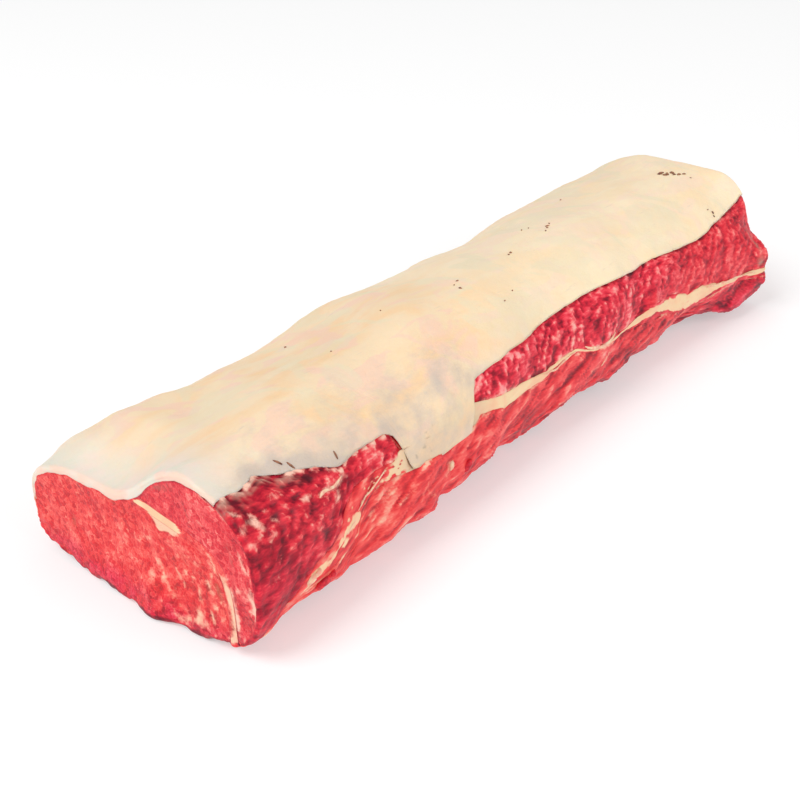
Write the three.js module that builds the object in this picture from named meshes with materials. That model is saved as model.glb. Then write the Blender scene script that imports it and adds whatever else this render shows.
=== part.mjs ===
// A whole boneless beef striploin lying on its lean underside, cut square at both ends.
// Four pieces run its full length: the big eye muscle, the flatter side muscle on the backbone
// side, the seam of fat that parts them, and the cap of fat over the top.
//
// Millimetres, +Z up. X runs from the near cut to the far cut, -Y is the backbone side where the
// lean is bare, +Y the flank side where the fat rolls down. The origin lies under the middle.
// A place along the loin is its share of the length, 0 at the near cut and 1 at the far cut.
// A place round it is a bearing in degrees: 0 on the flank side, 90 on top, 180 on the backbone
// side and 270 underneath.

import * as THREE from 'three';

// ---- the outside form, as values at six sections spaced evenly from the near cut ----

const LENGTH = 500;
const WIDTHS = [160, 159, 157, 154, 152, 158];
const HEIGHTS = [90, 90, 93, 93, 92, 92];
const MIDDLES = [-7, -2, 1, 2, 0, -3]; // where each section's middle lies across the loin
const CROWNS = [-0.5, -0.44, -0.38, -0.34, -0.29, -0.25]; // highest line, as a share of half the width
const FALLS = [0.16, 0.29, 0.29, 0.28, 0.25, 0.19]; // share of the height lost towards the flank
const FALL_REACHES = [0.75, 1.08, 1.29, 1.4, 1.45, 1.4]; // how far from the crown that takes
const SHOULDERS = [0.01, 0.05, 0.02, 0.02, 0.01, 0.17]; // share lost towards the backbone side
const NEAR_FALL = { extra: 0.18, length: 0.1 }; // the flank side sinks more just behind the near cut
const SQUARENESS = 3.1; // 2 is an ellipse, more is boxier
const REST_SINK = 1.5; // the underside is pressed flat by this much
const CENTRING = { x: -2.8, y: 3 }; // moves the middle of the loin over the origin

// The far cut isn't quite square: it leans back at the top and runs on at the flank side.
const FAR_CUT = { start: 0.75, flankLead: 8 / 70, topLean: 5 / 40, pivotHeight: 40 };
// The foot of the near cut bulges out: [how far, where across, half width], in the lowest part.
const NEAR_BULGES = [[2, -8, 40], [3.5, -18, 11]];
const NEAR_BULGE_REACH = { height: 22, length: 40 };

// ---- edges of the fat and of the seam: [share of the length, bearing] ----

const FAT_EDGE = [
  [0, 131], [0.05, 128], [0.09, 136], [0.13, 143], [0.175, 142], [0.2, 142], [0.212, 144],
  [0.221, 150], [0.25, 153], [0.33, 153], [0.34, 145], [0.39, 146], [0.445, 144], [0.51, 141],
  [0.57, 140], [0.65, 144], [0.72, 142], [0.78, 146], [0.83, 145], [0.88, 141], [0.94, 136],
  [1, 131],
];
const SEAM_UPPER_EDGE = [
  [0, 225], [0.03, 208], [0.045, 199], [0.06, 190], [0.075, 184], [0.098, 182], [0.11, 175],
  [0.124, 160], [0.138, 154], [0.176, 154], [0.204, 156], [0.213, 153], [0.25, 156],
  [0.33, 156], [0.354, 160], [0.378, 164], [0.43, 166], [0.466, 170], [0.5, 167.5],
  [0.53, 167.5], [0.564, 176], [0.616, 179], [0.65, 178], [0.682, 174], [0.748, 174],
  [0.79, 183], [0.826, 181], [0.88, 186], [1, 188],
];
const SEAM_LOWER_EDGE = [
  [0, 229], [0.03, 213], [0.06, 203], [0.098, 197], [0.124, 194], [0.136, 190], [0.146, 173],
  [0.164, 165], [0.196, 166.5], [0.23, 170], [0.278, 173.5], [0.32, 174], [0.34, 167.5],
  [0.36, 169], [0.384, 174], [0.43, 174.5], [0.474, 176], [0.49, 172], [0.536, 172],
  [0.564, 179], [0.616, 182], [0.65, 182], [0.7, 186], [0.736, 189], [0.778, 197], [0.832, 200],
  [0.858, 197], [0.888, 192], [0.934, 194], [1, 198],
];
const FAT_HEM = [[0, 2], [0.1, -10], [0.5, -18], [1, -14]]; // on the flank side

// ---- thicknesses, again at six sections where they are lists ----

const CAP_DEPTHS = [3, 8, 10, 10, 9.5, 8];
const CAP_LIP = 2.4; // the cap at its own edges
const CAP_TAPER = { backbone: 30, flank: 26 }; // degrees over which it thins to the lip
const CAP_PROUDS = [1, 1, 1, 1, 1.3, 2.4]; // how far the fat stands out over the bare lean
const VALLEY_DEPTHS = [1.5, 4, 3, 3, 3, 3]; // extra fat in the dip between the two muscles
const VALLEY_HALF_WIDTH = 13;

const SEAM_TOPS = [-8, -16, -22, -25, -25, -24]; // where the seam meets the cap, across the loin
const SEAM_TOP_WIDTHS = [7, 8, 6, 6, 6, 7];
const SEAM_KNEES_ACROSS = [-68, -46, -38, -36, -36, -36]; // where the seam bends
const SEAM_KNEES_HEIGHT = [54, 42, 40, 37, 32, 27];
const SEAM_THICKNESS = 4.4;
const GAP = 0.35; // between neighbouring pieces
const SEAM_GAP = 0.6; // the same, across the slanting ends of the seam

const RIM = 2; // both cuts are rounded over by this much
const CORE_HALF_WIDTH = 35; // depth is measured towards a flat core inside the loin
const CORE_HEIGHT = 30;

// Low swellings of the outside: [height, wavelength along, turns round, phase].
const SWELLS = [[0.9, 131, 2, 0.4], [0.7, 83, 3, 2.1], [0.5, 57, 5, 4.0]];
// Lumps of trimmed meat along the backbone side's foot, and the corners of both cuts:
// [share, bearing, height, half width].
const LUMPS = [
  [0.262, 215, 5, 11], [0.092, 208, 1.5, 9], [0.05, 208, -3, 15], [0.366, 206, 2, 9],
  [0.51, 207, 2, 10], [0.6, 212, 2, 12], [0.7, 169, 2.5, 8], [0.8, 212, -3, 24], [0.95, 217, 6, 22],
  [0, 326, 5, 16], [1, 127, 7, 12], [1, 143, -7, 14], [1, 174, 7, 20], [1, 201, 5, 18],
  [1, 222, 4, 14], [1, 72, 2, 30],
];
const LUMP_TURN = 13; // half width of a lump round the section, degrees
// Where two long edges rise out of the plain form or dip into it, as [share, height, half width]:
// the shoulder where the fat rolls down the flank, and the foot of the lean on the backbone side.
const LONG_EDGES = [
  {
    bearing: 38,
    turn: 24,
    rises: [
      [0.04, 4, 12], [0.16, 2, 12], [0.27, -3.5, 32], [0.41, 4, 22], [0.56, -3, 16],
      [0.67, -2.5, 22], [0.85, 2.5, 24],
    ],
  },
  {
    bearing: 217,
    turn: 15,
    rises: [
      [0.08, -2, 9], [0.12, 2, 9], [0.28, -2.5, 12], [0.4, -2.5, 10], [0.53, -4, 18],
      [0.64, 3, 14], [0.82, -6.5, 24], [0.92, 5.5, 14], [1, -3.5, 12],
    ],
  },
];

// ---- how finely the pieces are divided ----

const STATIONS = 46;
const COVERED_EYE = 12;
const COVERED_SIDE = 7;
const BARE_EYE = 22;
const BARE_SIDE = 8;
const SEAM_FACE = 8;
const SEAM_OUTSIDE = 2;

// ---- small helpers ----

const clamp = THREE.MathUtils.clamp;
const ease = (share) => THREE.MathUtils.smoothstep(share, 0, 1);
const bell = (offset, halfWidth) => Math.exp(-((offset / halfWidth) ** 2));
const raised = (value) => Math.abs(value) ** SQUARENESS;

// A smooth value at share u, through values spaced evenly along the loin.
function along(values, u) {
  const last = values.length - 1;
  const place = clamp(u, 0, 1) * last;
  const i = Math.min(Math.floor(place), last - 1);
  const s = place - i;
  const [a, b, c, d] = [i - 1, i, i + 1, i + 2].map((k) => values[clamp(k, 0, last)]);
  return 0.5 * (2 * b + (c - a) * s + (2 * a - 5 * b + 4 * c - d) * s ** 2
    + (3 * b - a - 3 * c + d) * s ** 3);
}

// The value at share u of an edge given as [share, value] points.
function traced(points, u) {
  const i = clamp(points.findIndex(([share]) => share >= u), 1, points.length - 1);
  const [[u0, v0], [u1, v1]] = [points[i - 1], points[i]];
  return THREE.MathUtils.lerp(v0, v1, clamp((u - u0) / (u1 - u0), 0, 1));
}

// ---- the outside form ----

// The point of the plain outside at a share and a bearing, as (across, up). The section is a
// rounded square of half size 1, which is stretched to the width and height and then let down
// towards the flank and, a little, towards the backbone side.
function plainSkin(u, bearing) {
  const turn = THREE.MathUtils.degToRad(bearing);
  const radius = (raised(Math.cos(turn)) + raised(Math.sin(turn))) ** (-1 / SQUARENESS);
  const out = radius * Math.cos(turn);
  const crown = along(CROWNS, u);
  const sunk = along(FALLS, u) + NEAR_FALL.extra * (1 - ease(u / NEAR_FALL.length));
  const fall = sunk * ease((out - crown) / along(FALL_REACHES, u));
  const shoulder = along(SHOULDERS, u) * clamp((crown - out) / (1 + crown), 0, 1) ** 2;
  const up = along(HEIGHTS, u) / 2 * (1 + radius * Math.sin(turn));
  return new THREE.Vector2(
    along(MIDDLES, u) + along(WIDTHS, u) / 2 * out,
    Math.max(up * (1 - fall - shoulder) - REST_SINK, 0),
  );
}

// How far the real outside swells beyond the plain one, none where the loin rests.
function swelling(u, bearing, height) {
  const turn = THREE.MathUtils.degToRad(bearing);
  const waves = SWELLS.map(([rise, wavelength, turns, phase]) => (
    rise * Math.sin(2 * Math.PI * u * LENGTH / wavelength + turns * turn + phase)));
  const lumps = LUMPS.map(([share, at, rise, halfWidth]) => (
    rise * bell((u - share) * LENGTH, halfWidth) * bell(bearing - at, LUMP_TURN)));
  const edges = LONG_EDGES.map(({ bearing: at, turn: turnWidth, rises }) => (
    bell(bearing - at, turnWidth) * rises.reduce((sum, [share, rise, halfWidth]) => (
      sum + rise * bell((u - share) * LENGTH, halfWidth)), 0)));
  const total = [...waves, ...lumps, ...edges].reduce((sum, rise) => sum + rise, 0);
  return total * ease(height / 12);
}

// How much the rounded rim of a cut takes off at a share of the length.
function rimInset(u) {
  const fromCut = Math.min(u, 1 - u) * LENGTH;
  return fromCut < RIM ? RIM - Math.sqrt(RIM ** 2 - (RIM - fromCut) ** 2) : 0;
}

// The point that lies a depth under the outside, towards the core.
function under(u, bearing, depth) {
  const plain = plainSkin(u, bearing);
  const middle = along(MIDDLES, u);
  const core = new THREE.Vector2(
    clamp(plain.x, middle - CORE_HALF_WIDTH, middle + CORE_HALF_WIDTH),
    CORE_HEIGHT,
  );
  const inward = core.sub(plain).normalize();
  return plain.addScaledVector(inward, depth - swelling(u, bearing, plain.y));
}

const outside = (u, bearing, proud = 0) => under(u, bearing, rimInset(u) - proud);

// The bearing on top of the loin at a distance across it.
function bearingAcross(u, across) {
  const out = (across - along(MIDDLES, u)) / (along(WIDTHS, u) / 2);
  const rise = (1 - raised(out)) ** (1 / SQUARENESS);
  return THREE.MathUtils.radToDeg(Math.atan2(rise, out));
}

// A bearing moved by a distance over the surface.
function bearingMoved(u, bearing, distance) {
  const degree = plainSkin(u, bearing + 0.5).distanceTo(plainSkin(u, bearing - 0.5));
  return bearing + distance / degree;
}

// The outside between two bearings at one share of the length, for even spacing.
class SkinArc extends THREE.Curve {
  constructor(u, from, to) {
    super();
    Object.assign(this, { u, from, to });
  }

  getPoint(t, target = new THREE.Vector2()) {
    return target.copy(plainSkin(this.u, THREE.MathUtils.lerp(this.from, this.to, t)));
  }

  // Bearings that divide the arc into equal lengths.
  bearings(count) {
    return Array.from({ length: count + 1 }, (_, i) => (
      THREE.MathUtils.lerp(this.from, this.to, this.getUtoTmapping(i / count))));
  }
}

// How deep the cap of fat goes at a bearing.
function capDepth(u, bearing) {
  const lip = ease((traced(FAT_EDGE, u) - bearing) / CAP_TAPER.backbone)
    * ease((bearing - traced(FAT_HEM, u)) / CAP_TAPER.flank);
  const fromSeam = plainSkin(u, bearing).x - along(SEAM_TOPS, u);
  return CAP_LIP + (along(CAP_DEPTHS, u) - CAP_LIP) * lip
    + along(VALLEY_DEPTHS, u) * bell(fromSeam, VALLEY_HALF_WIDTH);
}

// ---- the sections of the four pieces ----

// One face of the seam, from its top under the cap to its edge on the outside.
// side is -1 for the face towards the side muscle and +1 for the face towards the eye.
function seamFace(u, side, widen) {
  const across = along(SEAM_TOPS, u) + side * (along(SEAM_TOP_WIDTHS, u) / 2 + widen);
  const topBearing = bearingAcross(u, across);
  const edge = traced(side < 0 ? SEAM_UPPER_EDGE : SEAM_LOWER_EDGE, u);
  const footBearing = bearingMoved(u, edge, side * widen);
  const half = (SEAM_THICKNESS / 2 + widen) * Math.SQRT1_2;
  const knee = new THREE.Vector2(
    along(SEAM_KNEES_ACROSS, u) + side * half,
    along(SEAM_KNEES_HEIGHT, u) - side * half,
  );
  const top = under(u, topBearing, capDepth(u, topBearing) + GAP);
  const curve = new THREE.CubicBezierCurve(top, knee, knee, outside(u, footBearing));
  return { topBearing, footBearing, points: curve.getPoints(SEAM_FACE) };
}

// The faces of one section. Each is a list of points, in the order of rising bearing on the
// outside and on the cap's underside, and from the top down on the seam's faces.
function sectionAt(u) {
  const edge = traced(FAT_EDGE, u);
  const hem = traced(FAT_HEM, u);
  const sideFace = seamFace(u, -1, 0);
  const eyeFace = seamFace(u, 1, 0);
  const overEye = new SkinArc(u, hem, eyeFace.topBearing).bearings(COVERED_EYE);
  const overSide = new SkinArc(u, sideFace.topBearing, edge).bearings(COVERED_SIDE);
  // The bare lean starts a step away from the cap's edge, and its last corner is the seam face's.
  const bareSide = new SkinArc(u, edge, sideFace.footBearing).bearings(BARE_SIDE).slice(1, -1);
  const bareEye = new SkinArc(u, eyeFace.footBearing, hem + 360).bearings(BARE_EYE).slice(1, -1);
  const overAll = [...overEye, ...overSide];
  const seamSide = seamFace(u, -1, -SEAM_GAP);
  const seamEye = seamFace(u, 1, -SEAM_GAP);
  const seamSkin = new SkinArc(u, seamSide.footBearing, seamEye.footBearing).bearings(SEAM_OUTSIDE);
  return {
    capTop: overAll.map((bearing) => outside(u, bearing, along(CAP_PROUDS, u))),
    capUnderside: overAll.map((bearing) => under(u, bearing, capDepth(u, bearing))),
    coveredEye: overEye.map((bearing) => under(u, bearing, capDepth(u, bearing) + GAP)),
    coveredSide: overSide.map((bearing) => under(u, bearing, capDepth(u, bearing) + GAP)),
    bareSide: bareSide.map((bearing) => outside(u, bearing)),
    bareEye: bareEye.map((bearing) => outside(u, bearing)),
    sideFace: sideFace.points.slice(1),
    eyeFace: eyeFace.points.slice(1),
    seamTop: [seamEye.points[0], seamSide.points[0]],
    seamSide: seamSide.points.slice(1),
    seamEye: seamEye.points.slice(1),
    seamSkin: seamSkin.slice(1, -1).map((bearing) => outside(u, bearing)),
  };
}

// Each piece's ring of faces, anticlockwise seen from the far cut. A face that is walked against
// its own order is marked, so that two facing walls are divided along the same diagonals.
const forwards = (face) => ({ face, backwards: false });
const backwards = (face) => ({ face, backwards: true });
const RINGS = {
  eye_muscle: [forwards('bareEye'), forwards('coveredEye'), forwards('eyeFace')],
  side_muscle: [forwards('coveredSide'), forwards('bareSide'), backwards('sideFace')],
  seam_fat: [forwards('seamTop'), forwards('seamSide'), forwards('seamSkin'), backwards('seamEye')],
  fat_cap: [forwards('capTop'), backwards('capUnderside')],
};

// Joins a piece's faces into one closed ring.
function ringOf(section, faces) {
  const ring = [];
  for (const { face, backwards: reversed } of faces) {
    const points = reversed ? [...section[face]].reverse() : section[face];
    for (const point of points) ring.push({ point, reversed });
  }
  return ring;
}

// ---- the solids ----

// The share of the loin's length of every section, closer together over the rounded rims.
function stationShares() {
  const even = Array.from({ length: STATIONS + 1 }, (_, i) => i / STATIONS);
  const rims = [0.3 * RIM / LENGTH, RIM / LENGTH];
  return [...even, ...rims, ...rims.map((share) => 1 - share)].sort((a, b) => a - b);
}

// A section point in space, with the slant of the far cut and the bulging foot of the near one.
function inSpace(u, { x: across, y: up }) {
  const slant = ease((u - FAR_CUT.start) / (1 - FAR_CUT.start));
  const lead = FAR_CUT.flankLead * across - FAR_CUT.topLean * (up - FAR_CUT.pivotHeight);
  const low = bell(up, NEAR_BULGE_REACH.height) * (1 - ease(u * LENGTH / NEAR_BULGE_REACH.length));
  const bulge = NEAR_BULGES.reduce((sum, [out, at, halfWidth]) => (
    sum + out * bell(across - at, halfWidth)), 0);
  return [LENGTH * (u - 0.5) + slant * lead - low * bulge, across, up];
}

// The solid through a piece's rings, closed by a flat face at each cut.
function loft(shares, rings) {
  const count = rings[0].length;
  const positions = rings.flatMap((ring, i) => ring.flatMap(({ point }) => inSpace(shares[i], point)));
  const triangles = [];
  for (let i = 0; i < rings.length - 1; i += 1) {
    for (let j = 0; j < count; j += 1) {
      const next = (j + 1) % count;
      const [a, b, c, d] = [
        i * count + j, i * count + next, (i + 1) * count + next, (i + 1) * count + j,
      ];
      triangles.push(...(rings[0][j].reversed ? [a, b, d, b, c, d] : [a, b, c, a, c, d]));
    }
  }
  const lastRing = (rings.length - 1) * count;
  const capOf = (ring) => THREE.ShapeUtils.triangulateShape(ring.map(({ point }) => point), []);
  for (const [a, b, c] of capOf(rings[0])) triangles.push(a, c, b);
  for (const [a, b, c] of capOf(rings.at(-1))) triangles.push(lastRing + a, lastRing + b, lastRing + c);
  const geometry = new THREE.BufferGeometry();
  geometry.setAttribute('position', new THREE.Float32BufferAttribute(positions, 3));
  geometry.setIndex(triangles);
  geometry.computeVertexNormals();
  return geometry;
}

const FINISHES = {
  eye_muscle: { color: '#cf3b46', roughness: 0.38 },
  side_muscle: { color: '#9c2030', roughness: 0.42 },
  seam_fat: { color: '#f0d6b0', roughness: 0.5 },
  fat_cap: { color: '#f4dfb6', roughness: 0.55 },
};

const striploin = new THREE.Group();
striploin.name = 'striploin';
striploin.position.set(CENTRING.x, CENTRING.y, 0);

const shares = stationShares();
const sections = shares.map(sectionAt);
for (const [name, faces] of Object.entries(RINGS)) {
  const rings = sections.map((section) => ringOf(section, faces));
  const finish = new THREE.MeshStandardMaterial({ ...FINISHES[name], metalness: 0 });
  const piece = new THREE.Mesh(loft(shares, rings), finish);
  piece.name = name;
  striploin.add(piece);
}

export default striploin;
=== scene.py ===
"""A whole boneless beef striploin lying on its lean underside, dressed for the render.

Four pieces stand for the four solids of the frame: the eye muscle, the side muscle on the backbone
side, the seam of fat that parts them, and the cap of fat over the top. Each is a closed surface
worked out on a grid from the same outside form. Small things lie on them: dried specks and ticks
on the fat, strands and scraps of fat by the seam, and scraps of lean at the foot of the side.

Lengths are millimetres until a mesh is made. X runs from the near cut to the far cut, -Y is the
backbone side, +Y the flank side and Z is up. A share is a place along the loin, 0 at the near cut
and 1 at the far cut. A bearing is a place round it in degrees: 0 on the flank side, 90 on top, 180
on the backbone side and 270 underneath.
"""

import logging
from dataclasses import dataclass, field, replace
from enum import Enum
from typing import ClassVar, Sequence

import bpy
import numpy as np
from mathutils import Matrix, Vector


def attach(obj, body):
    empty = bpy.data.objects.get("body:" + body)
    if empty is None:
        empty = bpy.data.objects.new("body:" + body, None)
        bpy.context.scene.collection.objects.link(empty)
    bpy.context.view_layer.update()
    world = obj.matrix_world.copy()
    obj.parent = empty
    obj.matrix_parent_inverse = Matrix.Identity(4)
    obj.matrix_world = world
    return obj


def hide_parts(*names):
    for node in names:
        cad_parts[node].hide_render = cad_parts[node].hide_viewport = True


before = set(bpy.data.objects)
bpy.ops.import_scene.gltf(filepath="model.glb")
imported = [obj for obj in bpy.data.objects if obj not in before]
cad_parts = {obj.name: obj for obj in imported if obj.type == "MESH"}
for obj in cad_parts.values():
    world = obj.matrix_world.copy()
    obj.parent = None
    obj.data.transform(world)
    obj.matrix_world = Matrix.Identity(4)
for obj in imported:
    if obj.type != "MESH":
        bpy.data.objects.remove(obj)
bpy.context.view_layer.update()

LOG = logging.getLogger("striploin")
MM = 0.001

Array = np.ndarray
Colour = tuple[float, float, float]
Socket = bpy.types.NodeSocket
Outputs = bpy.types.bpy_prop_collection

UNDERSIDE = 270.0  # the bearing straight down
INNER_BEARING = 100.0  # given to what lies inside the loin
CUT_BEARING = 180.0  # given to what lies on a cut
NEAR_CUT, FAR_CUT = 1.0, 2.0  # how the two cuts are marked
CUT_SIDE = 4  # the side that a cut counts as, after a body's own four
DEGREE = 1.25  # one degree round the backbone side, in millimetres


# ---------------------------------------------------------------- small helpers


def ease(share: Array) -> Array:
    """A smooth step: 3 s^2 - 2 s^3 of the share s, held between 0 and 1."""
    held = np.clip(share, 0.0, 1.0)
    return held * held * (3.0 - 2.0 * held)


def bell(offset: Array, half_width: float) -> Array:
    """A bell: e to the power of minus the squared offset over the squared half width."""
    return np.exp(-((offset / half_width) ** 2))


def along(values: Sequence[float], share: Array) -> Array:
    """A smooth curve through values spaced evenly along the loin.

    It is the Catmull-Rom cubic between the two nearest values, held level past the ends.

    Args:
        values: The values from the near cut to the far cut.
        share: Places along the loin.

    Returns:
        The value at each place.
    """
    known = np.asarray(values, float)
    last = len(known) - 1
    place = np.clip(share, 0.0, 1.0) * last
    i = np.minimum(place.astype(int), last - 1)
    s = place - i
    a, b, c, d = (known[np.clip(i + k, 0, last)] for k in (-1, 0, 1, 2))
    square, cube = (2 * a - 5 * b + 4 * c - d) * s**2, (3 * b - a - 3 * c + d) * s**3
    return 0.5 * (2 * b + (c - a) * s + square + cube)


def traced(points: Sequence[tuple[float, float]], share: Array, soften: float = 0.004) -> Array:
    """An edge given as (share, value) points, joined by straight lines and softened.

    Softening is the mean of five readings of the straight lines, spread over plus and minus the
    given share.

    Args:
        points: The known points of the edge, in order.
        share: Places along the loin.
        soften: Half the spread of the readings.

    Returns:
        The value at each place.
    """
    known = np.asarray(points, float)
    steps = np.linspace(-soften, soften, 5)
    return sum(np.interp(share + step, known[:, 0], known[:, 1]) for step in steps) / len(steps)


class Noise:
    """A smooth random field that is the same in every run."""

    CELLS = 32
    LAYER_SHIFT = 7.3
    GAIN = 1.4

    def __init__(self, seed: int) -> None:
        """Fills the lattice of random values from a seed."""
        self.values = np.random.default_rng(seed).uniform(-1.0, 1.0, (self.CELLS,) * 3)

    def at(self, points: Array, size: float | Sequence[float]) -> Array:
        """The field at each point.

        The point is divided by the size of a cell, the eight lattice values round it are weighted
        by the smooth step of its place in the cell, and summed.

        Args:
            points: Places, one row of three each.
            size: The size of a cell, one number or one for each axis.

        Returns:
            Values between -1 and 1.
        """
        place = points / np.asarray(size, float)
        cell = np.floor(place).astype(int)
        weight = ease(place - cell)
        total = np.zeros(len(points))
        for corner in np.ndindex(2, 2, 2):
            i, j, k = ((cell + corner) % self.CELLS).T
            share = np.where(np.array(corner) == 1, weight, 1.0 - weight).prod(axis=1)
            total += share * self.values[i, j, k]
        return total

    def rough(self, points: Array, size: float | Sequence[float], octaves: int = 3) -> Array:
        """The sum of the field at halving sizes and halving heights, about -1 to 1."""
        size = np.asarray(size, float)
        layers = (self.at(points + self.LAYER_SHIFT * k, size / 2**k) / 2**k for k in range(octaves))
        return sum(layers) / (2.0 - 0.5 ** (octaves - 1)) * self.GAIN

    def warp(self, points: Array, size: float, step: float) -> Array:
        """A move for each point along all three axes, each read a step further on in the field."""
        return np.stack([self.at(points + step * k, size) for k in range(3)], axis=1)


def turned(points: Array, angle: Array | float) -> Array:
    """Points with X and Z turned about Y by an angle in degrees, so that X runs with the grain."""
    turn = np.radians(angle)
    x, y, z = points.T
    return np.stack([x * np.cos(turn) + z * np.sin(turn), y, z * np.cos(turn) - x * np.sin(turn)], axis=1)


def turned_flat(points: Array, angle: float) -> Array:
    """Points turned about Z by an angle in degrees."""
    turn = np.radians(angle)
    x, y, z = points.T
    return np.stack([x * np.cos(turn) - y * np.sin(turn), x * np.sin(turn) + y * np.cos(turn), z], axis=1)


# ---------------------------------------------------------------- the outside form


@dataclass(frozen=True)
class LoinForm:
    """The outside form of the loin, and the boundaries between its four pieces.

    A list of six is a value at six sections spaced evenly from the near cut. An edge is a list of
    (share, bearing) points.
    """

    length: float = 500.0
    widths: tuple = (160, 159, 157, 154, 152, 158)
    heights: tuple = (90, 90, 93, 93, 92, 92)
    middles: tuple = (-7, -2, 1, 2, 0, -3)
    crowns: tuple = (-0.5, -0.44, -0.38, -0.34, -0.29, -0.25)
    falls: tuple = (0.16, 0.29, 0.29, 0.28, 0.25, 0.19)
    fall_reaches: tuple = (0.75, 1.08, 1.29, 1.4, 1.45, 1.4)
    shoulders: tuple = (0.01, 0.05, 0.02, 0.02, 0.01, 0.17)
    near_fall: float = 0.18
    near_fall_length: float = 0.1
    squareness: float = 3.1
    rest_sink: float = 1.5
    centring: tuple = (-2.8, 3.0, 0.0)
    far_start: float = 0.75
    far_lead: float = 8 / 70
    far_lean: float = 5 / 40
    far_pivot: float = 40.0
    fat_edge: tuple = (
        (0, 131), (0.05, 128), (0.09, 136), (0.13, 143), (0.175, 142), (0.2, 142), (0.212, 144),
        (0.221, 150), (0.25, 153), (0.33, 153), (0.34, 145), (0.39, 146), (0.445, 144), (0.51, 141),
        (0.57, 140), (0.65, 144), (0.72, 142), (0.78, 146), (0.83, 145), (0.88, 141), (0.94, 136),
        (1, 131),
    )
    seam_upper: tuple = (
        (0, 225), (0.03, 208), (0.045, 199), (0.06, 190), (0.075, 184), (0.098, 182), (0.11, 175),
        (0.124, 160), (0.138, 154), (0.176, 154), (0.204, 156), (0.213, 153), (0.25, 156),
        (0.33, 156), (0.354, 160), (0.378, 164), (0.43, 166), (0.466, 170), (0.5, 167.5),
        (0.53, 167.5), (0.564, 176), (0.616, 179), (0.65, 178), (0.682, 174), (0.748, 174),
        (0.79, 183), (0.826, 181), (0.88, 186), (1, 188),
    )
    seam_lower: tuple = (
        (0, 229), (0.03, 213), (0.06, 203), (0.098, 197), (0.124, 194), (0.136, 190), (0.146, 173),
        (0.164, 165), (0.196, 166.5), (0.23, 170), (0.278, 173.5), (0.32, 174), (0.34, 167.5),
        (0.36, 169), (0.384, 174), (0.43, 174.5), (0.474, 176), (0.49, 172), (0.536, 172),
        (0.564, 179), (0.616, 182), (0.65, 182), (0.7, 186), (0.736, 189), (0.778, 197),
        (0.832, 200), (0.858, 197), (0.888, 192), (0.934, 194), (1, 198),
    )
    hem: tuple = ((0, 2), (0.1, -10), (0.5, -18), (1, -14))
    cap_depths: tuple = (3, 8, 10, 10, 9.5, 8)
    cap_lip: float = 2.4
    cap_taper_backbone: float = 30.0
    cap_taper_flank: float = 26.0
    cap_prouds: tuple = (1, 1, 1, 1, 1.3, 2.4)
    valley_depths: tuple = (1.5, 4, 3, 3, 3, 3)
    valley_half_width: float = 13.0
    seam_tops: tuple = (-8, -16, -22, -25, -25, -24)
    seam_top_widths: tuple = (7, 8, 6, 6, 6, 7)
    seam_knees_across: tuple = (-68, -46, -38, -36, -36, -36)
    seam_knees_height: tuple = (54, 42, 40, 37, 32, 27)
    seam_thickness: float = 4.4
    rim: float = 2.0
    floor_fade: float = 12.0
    core_half_width: float = 35.0
    core_height: float = 30.0
    swells: tuple = ((0.9, 131, 2, 0.4), (0.7, 83, 3, 2.1), (0.5, 57, 5, 4.0))
    lumps: tuple = (
        (0.262, 215, 5, 11), (0.092, 208, 1.5, 9), (0.05, 208, -3, 15), (0.366, 206, 2, 9),
        (0.51, 207, 2, 10), (0.6, 212, 2, 12), (0.7, 169, 2.5, 8), (0.8, 212, -3, 24),
        (0.95, 217, 6, 22), (0, 326, 5, 16), (1, 127, 7, 12), (1, 143, -7, 14), (1, 174, 7, 20),
        (1, 201, 5, 18), (1, 222, 4, 14), (1, 72, 2, 30),
    )
    lump_turn: float = 13.0
    flank_rises: tuple = (
        (0.04, 4, 12), (0.16, 2, 12), (0.27, -3.5, 32), (0.41, 4, 22), (0.56, -3, 16),
        (0.67, -2.5, 22), (0.85, 2.5, 24),
    )
    flank_bearing: float = 38.0
    flank_turn: float = 24.0
    foot_rises: tuple = (
        (0.08, -2, 9), (0.12, 2, 9), (0.28, -2.5, 12), (0.4, -2.5, 10), (0.53, -4, 18),
        (0.64, 3, 14), (0.82, -6.5, 24), (0.92, 5.5, 14), (1, -3.5, 12),
    )
    foot_bearing: float = 217.0
    foot_turn: float = 15.0
    near_bulges: tuple = ((2.0, -8, 40), (3.5, -18, 11))
    near_bulge_height: float = 22.0
    near_bulge_length: float = 40.0

    def plain_skin(self, share: Array, bearing: Array) -> Array:
        """The plain outside, as (across, up).

        The section is a rounded square of half size 1, |out|^n + |rise|^n = 1. It is stretched to
        the width and height, then let down by a smooth step of the distance from the crown towards
        the flank, and by the square of that distance towards the backbone side.

        Args:
            share: Places along the loin.
            bearing: Places round it.

        Returns:
            An array with across and up along its last axis.
        """
        turn = np.radians(bearing)
        n = self.squareness
        radius = (np.abs(np.cos(turn)) ** n + np.abs(np.sin(turn)) ** n) ** (-1 / n)
        out = radius * np.cos(turn)
        crown = along(self.crowns, share)
        sunk = along(self.falls, share) + self.near_fall * (1 - ease(share / self.near_fall_length))
        fall = sunk * ease((out - crown) / along(self.fall_reaches, share))
        shoulder = along(self.shoulders, share) * np.clip((crown - out) / (1 + crown), 0, 1) ** 2
        up = along(self.heights, share) / 2 * (1 + radius * np.sin(turn))
        across = along(self.middles, share) + along(self.widths, share) / 2 * out
        settled = np.maximum(up * (1 - fall - shoulder) - self.rest_sink, 0.0)
        return np.stack([across, settled], axis=-1)

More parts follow.
